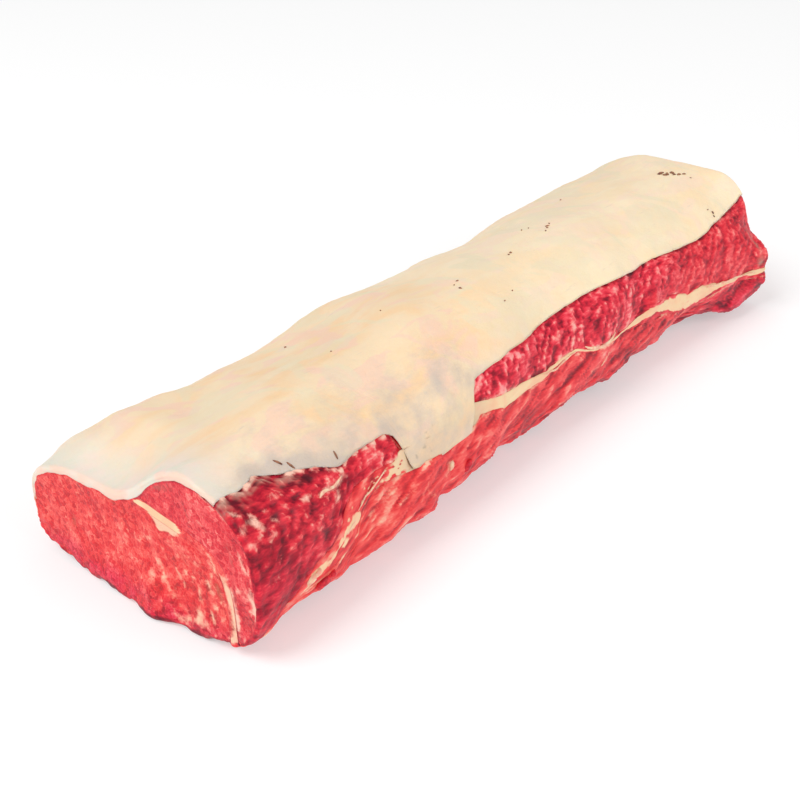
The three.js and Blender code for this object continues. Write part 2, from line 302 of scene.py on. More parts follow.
    def swelling(self, share: Array, bearing: Array, height: Array) -> Array:
        """How far the real outside swells beyond the plain one: waves and lumps, none at the floor."""
        turn = np.radians(bearing)
        total = np.zeros(np.broadcast(share, bearing).shape)
        for rise, wavelength, turns, phase in self.swells:
            wave = 2 * np.pi * share * self.length / wavelength + turns * turn + phase
            total = total + rise * np.sin(wave)
        for at, lump_bearing, rise, half_width in self.lumps:
            across = bell(bearing - lump_bearing, self.lump_turn)
            total = total + rise * bell((share - at) * self.length, half_width) * across
        flank = (self.flank_rises, self.flank_bearing, self.flank_turn)
        foot = (self.foot_rises, self.foot_bearing, self.foot_turn)
        for rises, edge_bearing, turn_width in (flank, foot):
            for at, rise, half_width in rises:
                risen = rise * bell((share - at) * self.length, half_width)
                total = total + risen * bell(bearing - edge_bearing, turn_width)
        return total * ease(height / self.floor_fade)

    def rim_inset(self, share: Array) -> Array:
        """How much the quarter-round rim of a cut takes off the outside."""
        from_cut = np.minimum(share, 1 - share) * self.length
        left = np.clip(self.rim - from_cut, 0, self.rim)
        return self.rim - np.sqrt(self.rim**2 - left**2)

    def under(self, share: Array, bearing: Array, depth: Array) -> Array:
        """The point at a depth under the outside, towards a flat core inside the loin."""
        plain = self.plain_skin(share, bearing)
        middle = along(self.middles, share)
        core = middle + np.clip(plain[..., 0] - middle, -self.core_half_width, self.core_half_width)
        inward = np.stack([core, np.full_like(core, self.core_height)], axis=-1) - plain
        inward /= np.linalg.norm(inward, axis=-1, keepdims=True)
        return plain + inward * (depth - self.swelling(share, bearing, plain[..., 1]))[..., None]

    def outside(self, share: Array, bearing: Array, proud: Array | float = 0.0) -> Array:
        """The point on the outside, standing proud by a distance."""
        return self.under(share, bearing, self.rim_inset(share) - proud)

    def bearing_across(self, share: Array, across: Array) -> Array:
        """The bearing on top of the loin at a distance across it: the angle of (out, rise)."""
        out = (across - along(self.middles, share)) / (along(self.widths, share) / 2)
        rise = (1 - np.abs(out) ** self.squareness) ** (1 / self.squareness)
        return np.degrees(np.arctan2(rise, out))

    def bearing_moved(self, share: Array, bearing: Array, distance: float) -> Array:
        """A bearing moved by a distance over the surface."""
        step = self.plain_skin(share, bearing + 0.5) - self.plain_skin(share, bearing - 0.5)
        return bearing + distance / np.linalg.norm(step, axis=-1)

    def in_space(self, share: Array, section: Array) -> Array:
        """Section points in space, with the slant of the far cut and the loin centred."""
        across, up = section[..., 0], section[..., 1]
        slant = ease((share - self.far_start) / (1 - self.far_start))
        lead = self.far_lead * across - self.far_lean * (up - self.far_pivot)
        x = self.length * (share - 0.5) + slant * lead
        for out, middle, half_width in self.near_bulges:
            foot = bell(across - middle, half_width) * bell(up, self.near_bulge_height)
            x = x - out * foot * (1 - ease(share * self.length / self.near_bulge_length))
        return np.stack([x, across, up], axis=-1) + np.asarray(self.centring)

    def spot(self, share: float, bearing: float, proud: float = 0.0) -> Array:
        """One point of the outside in space."""
        u, b = np.array([float(share)]), np.array([float(bearing)])
        return self.in_space(u, self.outside(u, b, proud))[0]


LOIN = LoinForm()


@dataclass(frozen=True)
class Spread:
    """How the grid lines are spread along the loin."""

    stations: int = 265
    crowding: float = 0.25
    rim_lines: tuple = (0.12, 0.4, 0.8, 1.3, 2.0, 2.9)
    rim_clear: float = 1.2

    def shares(self) -> Array:
        """Shares from cut to cut: a little closer together towards the near cut, close at the rims.

        An even count t becomes (1 - c) t + c t^2, and six lines are added over each rim.
        """
        even = np.linspace(0, 1, self.stations)
        body = (1 - self.crowding) * even + self.crowding * even**2
        rims = np.array(self.rim_lines) / LOIN.length
        clear = rims[-1] * self.rim_clear
        inner = body[(body > clear) & (body < 1 - clear)]
        return np.concatenate([[0], rims, inner, 1 - rims[::-1], [1]])


SHARES = Spread().shares()[:, None]


def even_bearings(start: Array, end: Array, count: int, density: float = 0.0) -> Array:
    """Bearings that divide the outside between two bearings into equal lengths.

    The lengths of many small steps are summed and read backwards. With a density, a step counts for
    less towards the underside, so that the lines lie further apart there.

    Args:
        start: The first bearing at each station.
        end: The last bearing at each station.
        count: How many bearings.
        density: 0 for equal lengths, up to 1 for none at the very underside.

    Returns:
        An array of stations by count.
    """
    small_steps, under_half_width = 160, 45.0
    fine = start + (end - start) * np.linspace(0, 1, small_steps)
    place = LOIN.plain_skin(SHARES, fine)
    step = np.linalg.norm(np.diff(place, axis=1), axis=-1)
    middle = (fine[:, 1:] + fine[:, :-1]) / 2
    step = step * (1 - density * bell(middle - UNDERSIDE, under_half_width)) + 1e-6
    run = np.concatenate([np.zeros((len(step), 1)), np.cumsum(step, axis=1)], axis=1)
    run /= run[:, -1:]
    wanted = np.linspace(0, 1, count)
    return np.array([np.interp(wanted, run_row, fine_row) for run_row, fine_row in zip(run, fine)])


# ---------------------------------------------------------------- closed bodies


@dataclass
class Side:
    """One of the four sides of a body: a chain of section points at every station."""

    points: Array
    bearings: Array


@dataclass
class Body:
    """A closed surface of quads, with what its finish needs to know at every vertex."""

    points: Array
    quads: Array
    share: Array
    bearing: Array
    side: Array
    cut: Array
    edge: Array
    paint: dict = field(default_factory=dict)

    def normals(self) -> Array:
        """Vertex normals: the crossed diagonals of each quad, summed at its corners."""
        a, b, c, d = (self.points[self.quads[:, k]] for k in range(4))
        face = np.cross(c - a, d - b)
        total = np.zeros_like(self.points)
        for k in range(4):
            for axis in range(3):
                total[:, axis] += np.bincount(self.quads[:, k], face[:, axis], len(total))
        return total / np.maximum(np.linalg.norm(total, axis=1, keepdims=True), 1e-9)

    def raise_by(self, height: Array) -> None:
        """Moves every vertex along its normal by a height."""
        self.points = self.points + self.normals() * height[:, None]

    def volume(self) -> float:
        """The signed volume, the sum of a . (b x c) / 6 over the triangles."""
        a, b, c, d = (self.points[self.quads[:, k]] for k in range(4))
        return float(np.einsum("ij,ij->", a, np.cross(b, c) + np.cross(c, d)) / 6)


def closed_body(sides: Sequence[Side]) -> Body:
    """Carries four sides along the loin and closes both cuts.

    The sides run round the section one after the other and share their corners. The first and
    third have the same count, and so have the second and fourth. A cut is filled by the Coons
    patch of its four sides: the two blends across, less the blend of the corners.

    Args:
        sides: The four sides, anticlockwise.

    Returns:
        The closed body, its faces outwards.
    """
    ring = np.concatenate([side.points[:, :-1] for side in sides], axis=1)
    bearing = np.concatenate([side.bearings[:, :-1] for side in sides], axis=1)
    names = np.concatenate([np.full(side.points.shape[1] - 1, k) for k, side in enumerate(sides)])
    stations, count = ring.shape[:2]
    points = [LOIN.in_space(SHARES, ring).reshape(-1, 3)]
    share = [np.repeat(SHARES[:, 0], count)]
    bearings = [bearing.ravel()]
    side_of = [np.tile(names, stations)]
    cut = [np.zeros(stations * count)]
    edge = [np.minimum(share[0], 1 - share[0]) * LOIN.length]
    i, j = np.meshgrid(np.arange(stations - 1), np.arange(count), indexing="ij")
    here, after = i * count + j, i * count + (j + 1) % count
    quads = [np.stack([here, after, after + count, here + count], axis=-1).reshape(-1, 4)]
    n, m = sides[0].points.shape[1], sides[1].points.shape[1]
    offset = stations * count
    for station, mark in ((0, NEAR_CUT), (stations - 1, FAR_CUT)):
        a, b, c, d = (side.points[station] for side in sides)
        c, d = c[::-1], d[::-1]
        s, t = np.linspace(0, 1, n)[:, None, None], np.linspace(0, 1, m)[None, :, None]
        patch = (1 - t) * a[:, None] + t * c[:, None] + (1 - s) * d[None] + s * b[None]
        corner_blend = (1 - s) * (1 - t) * a[0] + s * (1 - t) * a[-1] + s * t * c[-1] + (1 - s) * t * c[0]
        patch = patch - corner_blend
        inner = patch[1:-1, 1:-1].reshape(-1, 2)
        index = np.zeros((n, m), int)
        start = station * count
        index[:, 0] = start + np.arange(n)
        index[-1, :] = start + (n - 1) + np.arange(m)
        index[:, -1] = start + ((n - 1) + (m - 1) + np.arange(n))[::-1]
        index[0, :] = start + (2 * (n - 1) + (m - 1) + np.arange(m))[::-1] % count
        index[0, 0] = start
        index[1:-1, 1:-1] = offset + np.arange(inner.shape[0]).reshape(n - 2, m - 2)
        offset += inner.shape[0]
        at = SHARES[station, 0]
        points.append(LOIN.in_space(np.full(len(inner), at), inner))
        share.append(np.full(len(inner), at))
        bearings.append(np.full(len(inner), CUT_BEARING))
        side_of.append(np.full(len(inner), CUT_SIDE))
        cut.append(np.full(len(inner), mark))
        near = np.sqrt(((inner[:, None] - ring[station][None]) ** 2).sum(-1)).min(1)
        edge.append(-near)
        corners = [index[:-1, :-1], index[1:, :-1], index[1:, 1:], index[:-1, 1:]]
        face = np.stack(corners, axis=-1).reshape(-1, 4)
        quads.append(face[:, ::-1] if mark == NEAR_CUT else face)
    parts = (points, quads, share, bearings, side_of, cut, edge)
    body = Body(*(np.concatenate(part) for part in parts))
    if body.volume() < 0:
        body.quads = body.quads[:, ::-1]
    return body


def linked(name: str, mesh: bpy.types.Mesh, material: bpy.types.Material) -> bpy.types.Object:
    """Puts a mesh into the scene as an object at the origin, smooth shaded, with its finish."""
    mesh.polygons.foreach_set("use_smooth", np.ones(len(mesh.polygons), bool))
    mesh.materials.append(material)
    mesh.validate()
    made = bpy.data.objects.new(name, mesh)
    bpy.context.scene.collection.objects.link(made)
    return made


def to_object(name: str, body: Body, material: bpy.types.Material) -> bpy.types.Object:
    """Puts a body into a Blender mesh, smooth shaded, with its paint as attributes.

    Args:
        name: The name of the piece.
        body: The surface, in millimetres.
        material: Its finish.

    Returns:
        The object, linked to the scene, at the origin.
    """
    mesh = bpy.data.meshes.new(name)
    mesh.vertices.add(len(body.points))
    mesh.vertices.foreach_set("co", (body.points * MM).astype(np.float32).ravel())
    mesh.loops.add(body.quads.size)
    mesh.loops.foreach_set("vertex_index", body.quads.astype(np.int32).ravel())
    mesh.polygons.add(len(body.quads))
    mesh.polygons.foreach_set("loop_start", np.arange(0, body.quads.size, 4, dtype=np.int32))
    mesh.update(calc_edges=True)
    for key, values in body.paint.items():
        layer = mesh.attributes.new(key, "FLOAT", "POINT")
        layer.data.foreach_set("value", values.astype(np.float32))
    return linked(name, mesh, material)


# ---------------------------------------------------------------- strokes painted on the surface


@dataclass(frozen=True)
class Stroke:
    """A pale or dark line on the surface, through (share, bearing) points."""

    places: tuple
    half_width: float
    strength: float = 1.0

    def line(self) -> Array:
        """The line's points in space."""
        return np.array([LOIN.spot(*place) for place in self.places])


class CutStroke(Stroke):
    """A line on the near cut, through (across, up) points of the uncentred section."""

    def line(self) -> Array:
        """The line's points in space."""
        return LOIN.in_space(np.zeros(len(self.places)), np.asarray(self.places, float))


def distance_to(points: Array, line: Array) -> Array:
    """The distance of each point from a line of straight pieces."""
    best = np.full(len(points), np.inf)
    for start, end in zip(line[:-1], line[1:]):
        run, out = end - start, points - start
        along_run = np.clip(out @ run / (run @ run), 0, 1)
        best = np.minimum(best, np.linalg.norm(out - along_run[:, None] * run, axis=1))
    return best


def painted(points: Array, strokes: Sequence[Stroke], wander: float = 2.0) -> Array:
    """How strongly strokes cover each point.

    The point is first moved by a smooth random field, so that the strokes wander. The cover is the
    strongest bell of its distance from a stroke, thinned out here and there by a finer field.

    Args:
        points: Places on the surface.
        strokes: The strokes.
        wander: How far the field moves a point.

    Returns:
        The cover, 0 to 1.
    """
    moved = points + wander * WARP.warp(points, 8.0, 23)
    total = np.zeros(len(points))
    for stroke in strokes:
        line = stroke.line()
        one_point = len(line) == 1
        away = np.linalg.norm(moved - line[0], axis=1) if one_point else distance_to(moved, line)
        total = np.maximum(total, stroke.strength * bell(away, stroke.half_width))
    return total * (0.72 + 0.4 * FLECK.at(points, 3.4))


# ---------------------------------------------------------------- the four pieces of the loin


WARP = Noise(11)
GRAIN = Noise(23)
FLESH = Noise(37)
FLECK = Noise(41)
RAGGED = Noise(59)


def ragged(share: Array, size: float, height: float, seed: float) -> Array:
    """A wandering line: a rough field read along the loin, times a height."""
    line = np.zeros((share.size, 3))
    line[:, 0] = share.ravel() * LOIN.length
    line[:, 1] = seed * 13.7
    return (RAGGED.rough(line, size, 4) * height).reshape(share.shape)


TONGUE_START, TONGUE_END = 0.216, 0.342  # where the tongue of fat lies over the whole seam


def seam_hidden(share: Array) -> Array:
    """1 where the tongue of fat lies over the whole seam, 0 where the seam is bare."""
    return ease((share - TONGUE_START) / 0.012) * ease((TONGUE_END - share) / 0.02)


def flat_join(share: Array) -> Array:
    """1 where the bare seam meets the tongue and lies level with it."""
    return bell(share - TONGUE_START, 0.03)


def cap_edge(share: Array) -> Array:
    """The bearing of the cap's edge on the backbone side.

    It is the traced edge with a ragged line added. Over the tongue of fat it runs on to the seam,
    so that the fat is unbroken there.
    """
    edge = traced(LOIN.fat_edge, share, 0.002)
    far_end = ease((0.354 - share) / 0.026 + 0.4 * ragged(share, 5.0, 1.0, 4.0))
    tongue = ease((share - 0.212) / 0.012) * far_end
    upper, lower = traced(LOIN.seam_upper, share), traced(LOIN.seam_lower, share)
    edge = edge + tongue * (upper + 1.6 - edge) + seam_hidden(share) * tongue * (lower - upper - 1.6)
    rough = np.interp(share, (0.0, 0.12, 0.15, 0.33, 0.36, 1.0), (2.6, 2.2, 0.9, 0.7, 0.9, 0.7))
    return edge + rough * ragged(share, 17.0, 1.0, 1.0)


def seam_edges(share: Array) -> tuple[Array, Array]:
    """The bearings of the seam's two edges on the outside, with ragged lines added."""
    upper = traced(LOIN.seam_upper, share, 0.003) + ragged(share, 12.0, 1.0, 2.0)
    lower = traced(LOIN.seam_lower, share, 0.003) + ragged(share, 12.0, 1.2, 3.0)
    return upper, np.maximum(lower, upper + 1.3)


def cap_depth(share: Array, bearing: Array) -> Array:
    """How deep the cap goes: thin at its lips, thicker inside, and deepest in the valley."""
    edge, hem = traced(LOIN.fat_edge, share), traced(LOIN.hem, share)
    lip = ease((edge - bearing) / LOIN.cap_taper_backbone) * ease((bearing - hem) / LOIN.cap_taper_flank)
    from_seam = LOIN.plain_skin(share, bearing)[..., 0] - along(LOIN.seam_tops, share)
    inside = (along(LOIN.cap_depths, share) - LOIN.cap_lip) * lip
    run = share * LOIN.length
    place = np.stack(np.broadcast_arrays(run, bearing, 0.0), axis=-1).reshape(-1, 3)
    nicks = RAGGED.rough(place, (12.0, 5.0, 5.0), 3).reshape(lip.shape) * (1 - ease(run / 14))
    valley = along(LOIN.valley_depths, share) * bell(from_seam, LOIN.valley_half_width)
    return LOIN.cap_lip + inside + valley + 0.9 * nicks


def seam_face(share: Array, side: int, widen: float, count: int) -> tuple[Array, Array, Array]:
    """One face of the seam, from its top under the cap to its edge on the outside.

    It is the cubic Bezier curve from the top to the foot with both handles on the seam's knee.

    Args:
        share: Places along the loin, one column.
        side: -1 for the face towards the side muscle, 1 for the face towards the eye.
        widen: How much further out the face stands than the seam's own.
        count: How many points.

    Returns:
        The points, the bearing of the top and the bearing of the foot.
    """
    across = along(LOIN.seam_tops, share) + side * (along(LOIN.seam_top_widths, share) / 2 + widen)
    top_bearing = LOIN.bearing_across(share, across)
    edge = seam_edges(share)[0 if side < 0 else 1]
    foot_bearing = LOIN.bearing_moved(share, edge, side * widen)
    half = (LOIN.seam_thickness / 2 + widen) * np.sqrt(0.5)
    knee = np.stack([
        along(LOIN.seam_knees_across, share) + side * half,
        along(LOIN.seam_knees_height, share) - side * half,
    ], axis=-1)
    top = LOIN.under(share, top_bearing, cap_depth(share, top_bearing))
    foot = LOIN.outside(share, foot_bearing)
    s = np.linspace(0, 1, count)[None, :, None]
    points = (1 - s) ** 3 * top + 3 * s * (1 - s) * knee + s**3 * foot
    return points, top_bearing, foot_bearing


def inner_side(points: Array, bearing: float = INNER_BEARING) -> Side:
    """A side that lies inside the loin, with one bearing for all its points."""
    return Side(points, np.full(points.shape[:2], bearing))


def cut_relief(points: Array, share: Array) -> Array:
    """How far a cut stands out along X: the knife's low waves, fading out inside the loin."""
    fade = 12.0
    wave = WARP.rough(points * (0.0, 1.0, 1.0), 38.0, 3)
    near = (1.3 * wave - 0.4) * (1 - ease(share * LOIN.length / fade))
    far = (1.2 * wave - 0.3) * (1 - ease((1 - share) * LOIN.length / fade))
    return near + far


@dataclass
class LoinPiece:
    """What the four pieces of the loin have in common."""

    node: str
    slot: str

    def sides(self) -> Sequence[Side]:
        """The four sides of the piece's section."""
        raise NotImplementedError

    def dress(self, body: Body) -> None:
        """Raises the relief and works out the paint."""
        raise NotImplementedError

    def build(self, material: bpy.types.Material) -> bpy.types.Object:
        """Makes the piece in place of its solid.

        Args:
            material: Its finish.

        Returns:
            The finished object.
        """
        body = closed_body(self.sides())
        body.points[:, 0] += cut_relief(body.points, body.share)
        self.dress(body)
        piece = to_object(f"{self.node}_dressed", body, material)
        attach(piece, "root")
        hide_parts(self.node)
        LOG.info("%s: %d vertices", piece.name, len(body.points))
        return piece


def face_frame(points: Array) -> tuple[Array, Array]:
    """Across and up on the uncentred section."""
    return points[:, 1] - LOIN.centring[1], points[:, 2]


# Pale lines and patches on the backbone side, found by their place.
PALE_MARKS = tuple(Stroke(*row) for row in (
    (((0.092, 149.5), (0.1, 148), (0.112, 148.5), (0.128, 146.5)), 1.6, 1),
    (((0.116, 151), (0.112, 156)), 1.5, 0.9),
    (((0.128, 144), (0.134, 148.5)), 1.3, 0.9),
    (((0.004, 142.5), (0.012, 141), (0.022, 143.5)), 1.7, 0.9),
    (((0.02, 139.5), (0.027, 145.5)), 1.4, 0.8),
    (((0.004, 134.5), (0.014, 138)), 1.4, 0.7),
    (((0.036, 141), (0.04, 148)), 1.1, 0.7),
    (((0.074, 145), (0.084, 146.5)), 1.3, 0.9),
    (((0.03, 166), (0.024, 178)), 1.6, 0.25),
))
FOOT_MARKS = tuple(Stroke(*row) for row in (
    (((0.056, 198), (0.063, 195.5), (0.072, 193), (0.08, 189.5)), 2.4, 1.1),
    (((0.564, 195), (0.6, 193), (0.622, 189)), 1.6, 0.6),
    (((0.5, 205), (0.53, 203)), 1.4, 0.5),
    (((0.25, 196), (0.262, 203)), 1.6, 0.6),
    (((0.205, 188), (0.222, 183), (0.236, 180.5)), 1.4, 0.6),
    (((0.16, 182), (0.182, 177.5), (0.2, 174)), 1.4, 0.6),
    (((0.15, 196), (0.172, 190)), 1.3, 0.5),
))
LOOP_MARK = Stroke(
    ((0.56, 173), (0.566, 177), (0.584, 180), (0.602, 180), (0.614, 176.5)), 1.1, 0.9)
DARK_MARKS = tuple(Stroke(*row) for row in (
    (((0.086, 139), (0.1, 139.5), (0.118, 142.5)), 3, 1),
    (((0.01, 150), (0.026, 155)), 2.6, 0.7),
    (((0.04, 144), (0.058, 147)), 2.2, 0.4),
    (((0.075, 158), (0.09, 166)), 2.6, 0.4),
    (((0.128, 158), (0.12, 170)), 2, 0.6),
))
# Grey smudges where the fat is thin, on the tongue and here and there on the cap.
SMUDGES = tuple(Stroke((place,), half_width, strength) for place, half_width, strength in (
    ((0.266, 151.5), 2, 0.9), ((0.254, 153.5), 2.2, 0.9), ((0.28, 146.5), 1.8, 0.7),
    ((0.298, 148.5), 1.8, 0.7), ((0.244, 148.5), 1.6, 0.6), ((0.246, 160), 2.2, 0.9),
    ((0.234, 162), 1.8, 0.8), ((0.254, 165.5), 2, 0.8), ((0.286, 153.5), 1.8, 0.8),
    ((0.314, 153.5), 1.8, 0.7), ((0.292, 142.5), 1.8, 0.6), ((0.326, 158), 1.6, 0.6),
    ((0.222, 147), 1.6, 0.6), ((0.3, 163), 1.8, 0.6), ((0.27, 159), 1.6, 0.6),
    ((0.46, 103), 3, 0.5), ((0.445, 108), 2.4, 0.4), ((0.66, 86), 3.4, 0.35),
    ((0.67, 96.5), 3, 0.45), ((0.942, 102), 5, 0.45), ((0.906, 134), 2.4, 0.5),
    ((0.72, 133), 2.6, 0.35), ((0.39, 150), 3, 0.45), ((0.36, 142), 3, 0.35),
))
# Strands of fat in the slanting band near the cut, and beside it.
BAND_MARKS = tuple(Stroke(*row) for row in (
    (((0.215, 154.5), (0.186, 157.5), (0.166, 160.5), (0.15, 164)), 1.1, 0.9),
    (((0.16, 161.5), (0.144, 165.5), (0.132, 172), (0.122, 179)), 1.1, 0.9),
    (((0.13, 176), (0.112, 182.5), (0.096, 184)), 1, 0.8),
    (((0.102, 184.5), (0.084, 187), (0.068, 188.5)), 1.2, 0.8),
    (((0.178, 161), (0.158, 165), (0.143, 170.5)), 0.9, 0.7),
    (((0.142, 161), (0.132, 166), (0.124, 172)), 0.9, 0.6),
    (((0.204, 161), (0.182, 162), (0.164, 166)), 1.1, 0.8),
    (((0.156, 168), (0.144, 174), (0.138, 182)), 1.1, 0.7),
    (((0.204, 168.5), (0.188, 171.5), (0.176, 176)), 1, 0.6),
    (((0.172, 178), (0.16, 184.5), (0.148, 189)), 1, 0.5),
    (((0.126, 168), (0.116, 176)), 0.9, 0.5),
    (((0.118, 190), (0.106, 193), (0.092, 196)), 1.1, 0.5),
    (((0.288, 186.5), (0.284, 193)), 2.2, 0.8),
    (((0.262, 180), (0.248, 186), (0.24, 193)), 1.1, 0.5),
))
RED_NUB = Stroke(((0.742, 171), (0.76, 171.5), (0.782, 174.5)), 3.2, 1)
MAUVE_MARK = Stroke(((0.972, 150), (0.978, 160), (0.982, 172), (0.985, 182)), 2.6, 0.9)
# The pale band in the seam: (share, place across the seam) of its two edges, 0 above and 1 below.
SEAM_BAND = (
    (
        (0, 1.3), (0.05, 1.2), (0.07, 0.35), (0.1, 0.3), (0.16, 0.2), (0.2, 0.3), (0.214, -0.3),
        (0.44, -0.3), (0.47, 0), (0.55, 0.2), (0.63, 0.15), (0.7, 0.1), (0.74, 0.12), (0.8, 0.12),
        (0.84, 0), (1, 0),
    ),
    (
        (0, 1.3), (0.05, 1.2), (0.07, 0.7), (0.1, 0.7), (0.16, 0.8), (0.2, 0.8), (0.214, 1.3),
        (0.4, 1.3), (0.45, 0.9), (0.5, 0.55), (0.55, 0.6), (0.63, 0.8), (0.7, 0.7), (0.74, 0.9),
        (0.81, 0.82), (0.86, 0.6), (0.9, 0.45), (0.94, 0.4), (1, 0.5),
    ),
)
NEAR_CUT_PALE = tuple(CutStroke(*row) for row in (
    (((-46, 60.5), (-52, 57.5)), 0.8, 0.5),
    (((-55, 54.5), (-62, 43.7), (-68, 37)), 1.3, 0.7),
    (((-66, 40), (-69.5, 34), (-70.5, 26), (-69.5, 14), (-68.5, 4)), 2.1, 1.1),
    (((-77, 60), (-81.6, 50.6), (-84.4, 41.3)), 1, 0.8),
    (((-83, 44), (-84.6, 34), (-84, 20), (-81, 8)), 1.5, 1),
    (((-50.8, 67.5), (-56.5, 62.1), (-61.1, 57.2)), 1.2, 0.5),
    (((-53, 83), (-61.5, 81), (-70, 76.5)), 1.2, 0.8),
    (((-32.8, 33.4), (-35.5, 30.4)), 1.1, 0.7),
    (((-37.3, 28), (-37.5, 25)), 1.1, 0.7),
    (((-28.1, 18.8), (-30, 16)), 1, 0.6),
    (((-20.5, 23.9), (-22, 26.5)), 0.9, 0.6),
    (((-42.5, 34.1), (-43.5, 31)), 1, 0.7),
    (((-48.5, 27.5), (-49, 23)), 1.2, 0.7),
    (((-45, 16), (-46.5, 12)), 1.1, 0.6),
    (((-55, 20), (-56.5, 15)), 1.1, 0.7),
    (((-54, 36), (-56, 31)), 1.2, 0.7),
    (((-13.9, 12.5), (-16, 9)), 0.9, 0.4),
))
NEAR_CUT_DRAB = tuple(CutStroke(*row) for row in (
    (((-60, 36.5), (-62.5, 31)), 2.6, 0.8),
    (((-6.5, 24.9), (-7, 23)), 1.8, 0.6),
    (((41.6, 29.2), (42.6, 26)), 2, 0.7),
    (((-42.6, 83), (-45.3, 65.2), (-43.7, 42.9)), 1.5, 0.5),
    (((-9.5, 66), (-21.4, 73.5), (-35.7, 79), (-44, 80)), 1.5, 0.75),
    (((49, 48.5), (42, 51.5)), 1.1, 0.6),
    (((28, 52), (17, 52.5), (4, 54.5)), 0.9, 0.6),
    (((-51, 46), (-47, 36)), 1.6, 0.35),
    (((-70, 62), (-74, 52)), 2, 0.4),
))
NEAR_CUT_DARK = tuple(CutStroke(*row) for row in (
    (((-64, 34), (-66, 26), (-66, 14)), 1, 0.5),
    (((-74.5, 40), (-75.5, 30)), 1.6, 0.5),
    (((-20, 30), (-24, 31)), 1.6, 0.4),
    (((48, 49.5), (47, 48)), 1.6, 0.8),
    (((36, 51), (34, 50)), 1.4, 0.8),
))
# The wedge of fat on the near cut: (across, top, bottom) at its places.
WEDGE = (
    (-40, 56.5, 56), (-37.5, 59.6, 53.6), (-30.6, 63.4, 52), (-25, 64, 51),
    (-22, 64.2, 55.5), (-19, 63.4, 58.8), (-10, 61.8, 59.5), (-6, 61.6, 60),
)


def wedge_cover(points: Array) -> Array:
    """How much of the near cut's wedge of fat covers each point: 1 between its top and its bottom."""
    across, up = face_frame(points + 0.9 * WARP.warp(points, 3.0, 5))
    places, tops, bottoms = np.array(WEDGE).T
    top, bottom = np.interp(across, places, tops), np.interp(across, places, bottoms)
    held = ease((across + 41) / 2) * ease((-3 - across) / 2)
    return held * ease((up - bottom) / 1.4 + 0.5) * ease((top - up) / 1.2 + 0.5)


def sharpened(field_value: Array, strength: float) -> Array:
    """A field with its middle values spread towards its ends: tanh(k f) / tanh(k)."""
    return np.tanh(strength * field_value) / np.tanh(strength)


def cut_flesh(points: Array) -> tuple[Array, Array]:
    """The tone and the marbling of a cut across the grain.

    The tone is a rough field of small bundles. Marbling is where the rough field, read through a
    warped place, is near zero, which draws thin wandering lines.

    Args:
        points: Places on the cut.

    Returns:
        The tone, about -1 to 1, and the marbling, 0 to 1.
    """
    flat = points * (0.15, 1.0, 1.0)
    warp = WARP.warp(flat, 9.0, 31) * 3.0
    tone = sharpened(FLESH.rough(flat + warp, 6.5, 4), 1.4)
    lines = np.abs(GRAIN.rough(flat + warp, 12.0, 3))
    patches = ease(0.55 + FLECK.at(flat, 15.0))
    return tone, bell(lines, 0.09) * patches


def paint_cut(body: Body) -> None:
    """Paints both cuts of a lean piece: its tone, marbling, drab and dark marks, and rosy foot.

    Low down and towards the backbone side the near cut is coarsely mottled. The far cut is plainer.
    """
    p = body.points
    across, up = face_frame(p)
    near = body.cut == NEAR_CUT
    tone, marbling = cut_flesh(p)
    coarse = sharpened(FLECK.rough(p * (0.2, 1.0, 1.0), 4.6, 2), 2.4)
    low_right = ease((-across - 2) / 24) * ease((56 - up) / 22)
    middle = bell(across + 2, 26) * bell(up - 30, 14)
    top_right = ease((-across - 20) / 40) * ease((up - 40) / 20)
    shade = 0.57 + 0.13 * tone + 0.10 * middle + 0.16 * low_right * coarse + 0.03 * top_right
    drab = np.maximum(0.28 * low_right * ease(-coarse - 0.2), painted(p, NEAR_CUT_DRAB))
    pale = 0.22 * marbling + low_right * (0.07 + 0.55 * ease(coarse - 0.1) * ease(0.6 + tone))
    pale = np.maximum(pale + painted(p, NEAR_CUT_PALE), wedge_cover(p) * ease((59.5 - up) / 2))
    rim = ease((6 - up) / 6)
    rosy = ease((21 - up) / 15) * ease(0.75 + 0.6 * tone)
    shade = shade - 0.12 * rosy
    on_cut = body.cut > 0
    for key, value in (
        ("tone", shade), ("pale", np.where(near, pale, 0.3 * marbling)), ("drab", drab * near),
        ("dark", np.maximum(0.25 * rim * ease(0.5 + 0.8 * coarse), painted(p, NEAR_CUT_DARK) * near)),
        ("rose", 0.12 + 0.9 * rosy), ("on_cut", np.ones(len(p))),
    ):
        beside = body.paint.get(key, np.zeros(len(p)))
        body.paint[key] = np.where(on_cut, np.clip(value, 0, 1.2), beside)


def side_flesh(points: Array, angle: float, length: float, width: float, contrast: float) -> Array:
    """Flecks drawn out along the grain: a rough field of long thin cells, turned to the grain."""
    warp = WARP.warp(points, 11.0, 17) * 1.5
    return sharpened(FLECK.rough(turned(points + warp, angle), (length, width, width), 3), contrast)


def eye_grain(points: Array) -> tuple[Array, Array]:
    """The long fibre and the short flecks of the eye, which run on through the seam's flesh."""
    fibre = side_flesh(points, 20.0, 20.0, 2.6, 2.0)
    return fibre, side_flesh(points + 40.0, 34.0, 7.0, 2.2, 2.2)


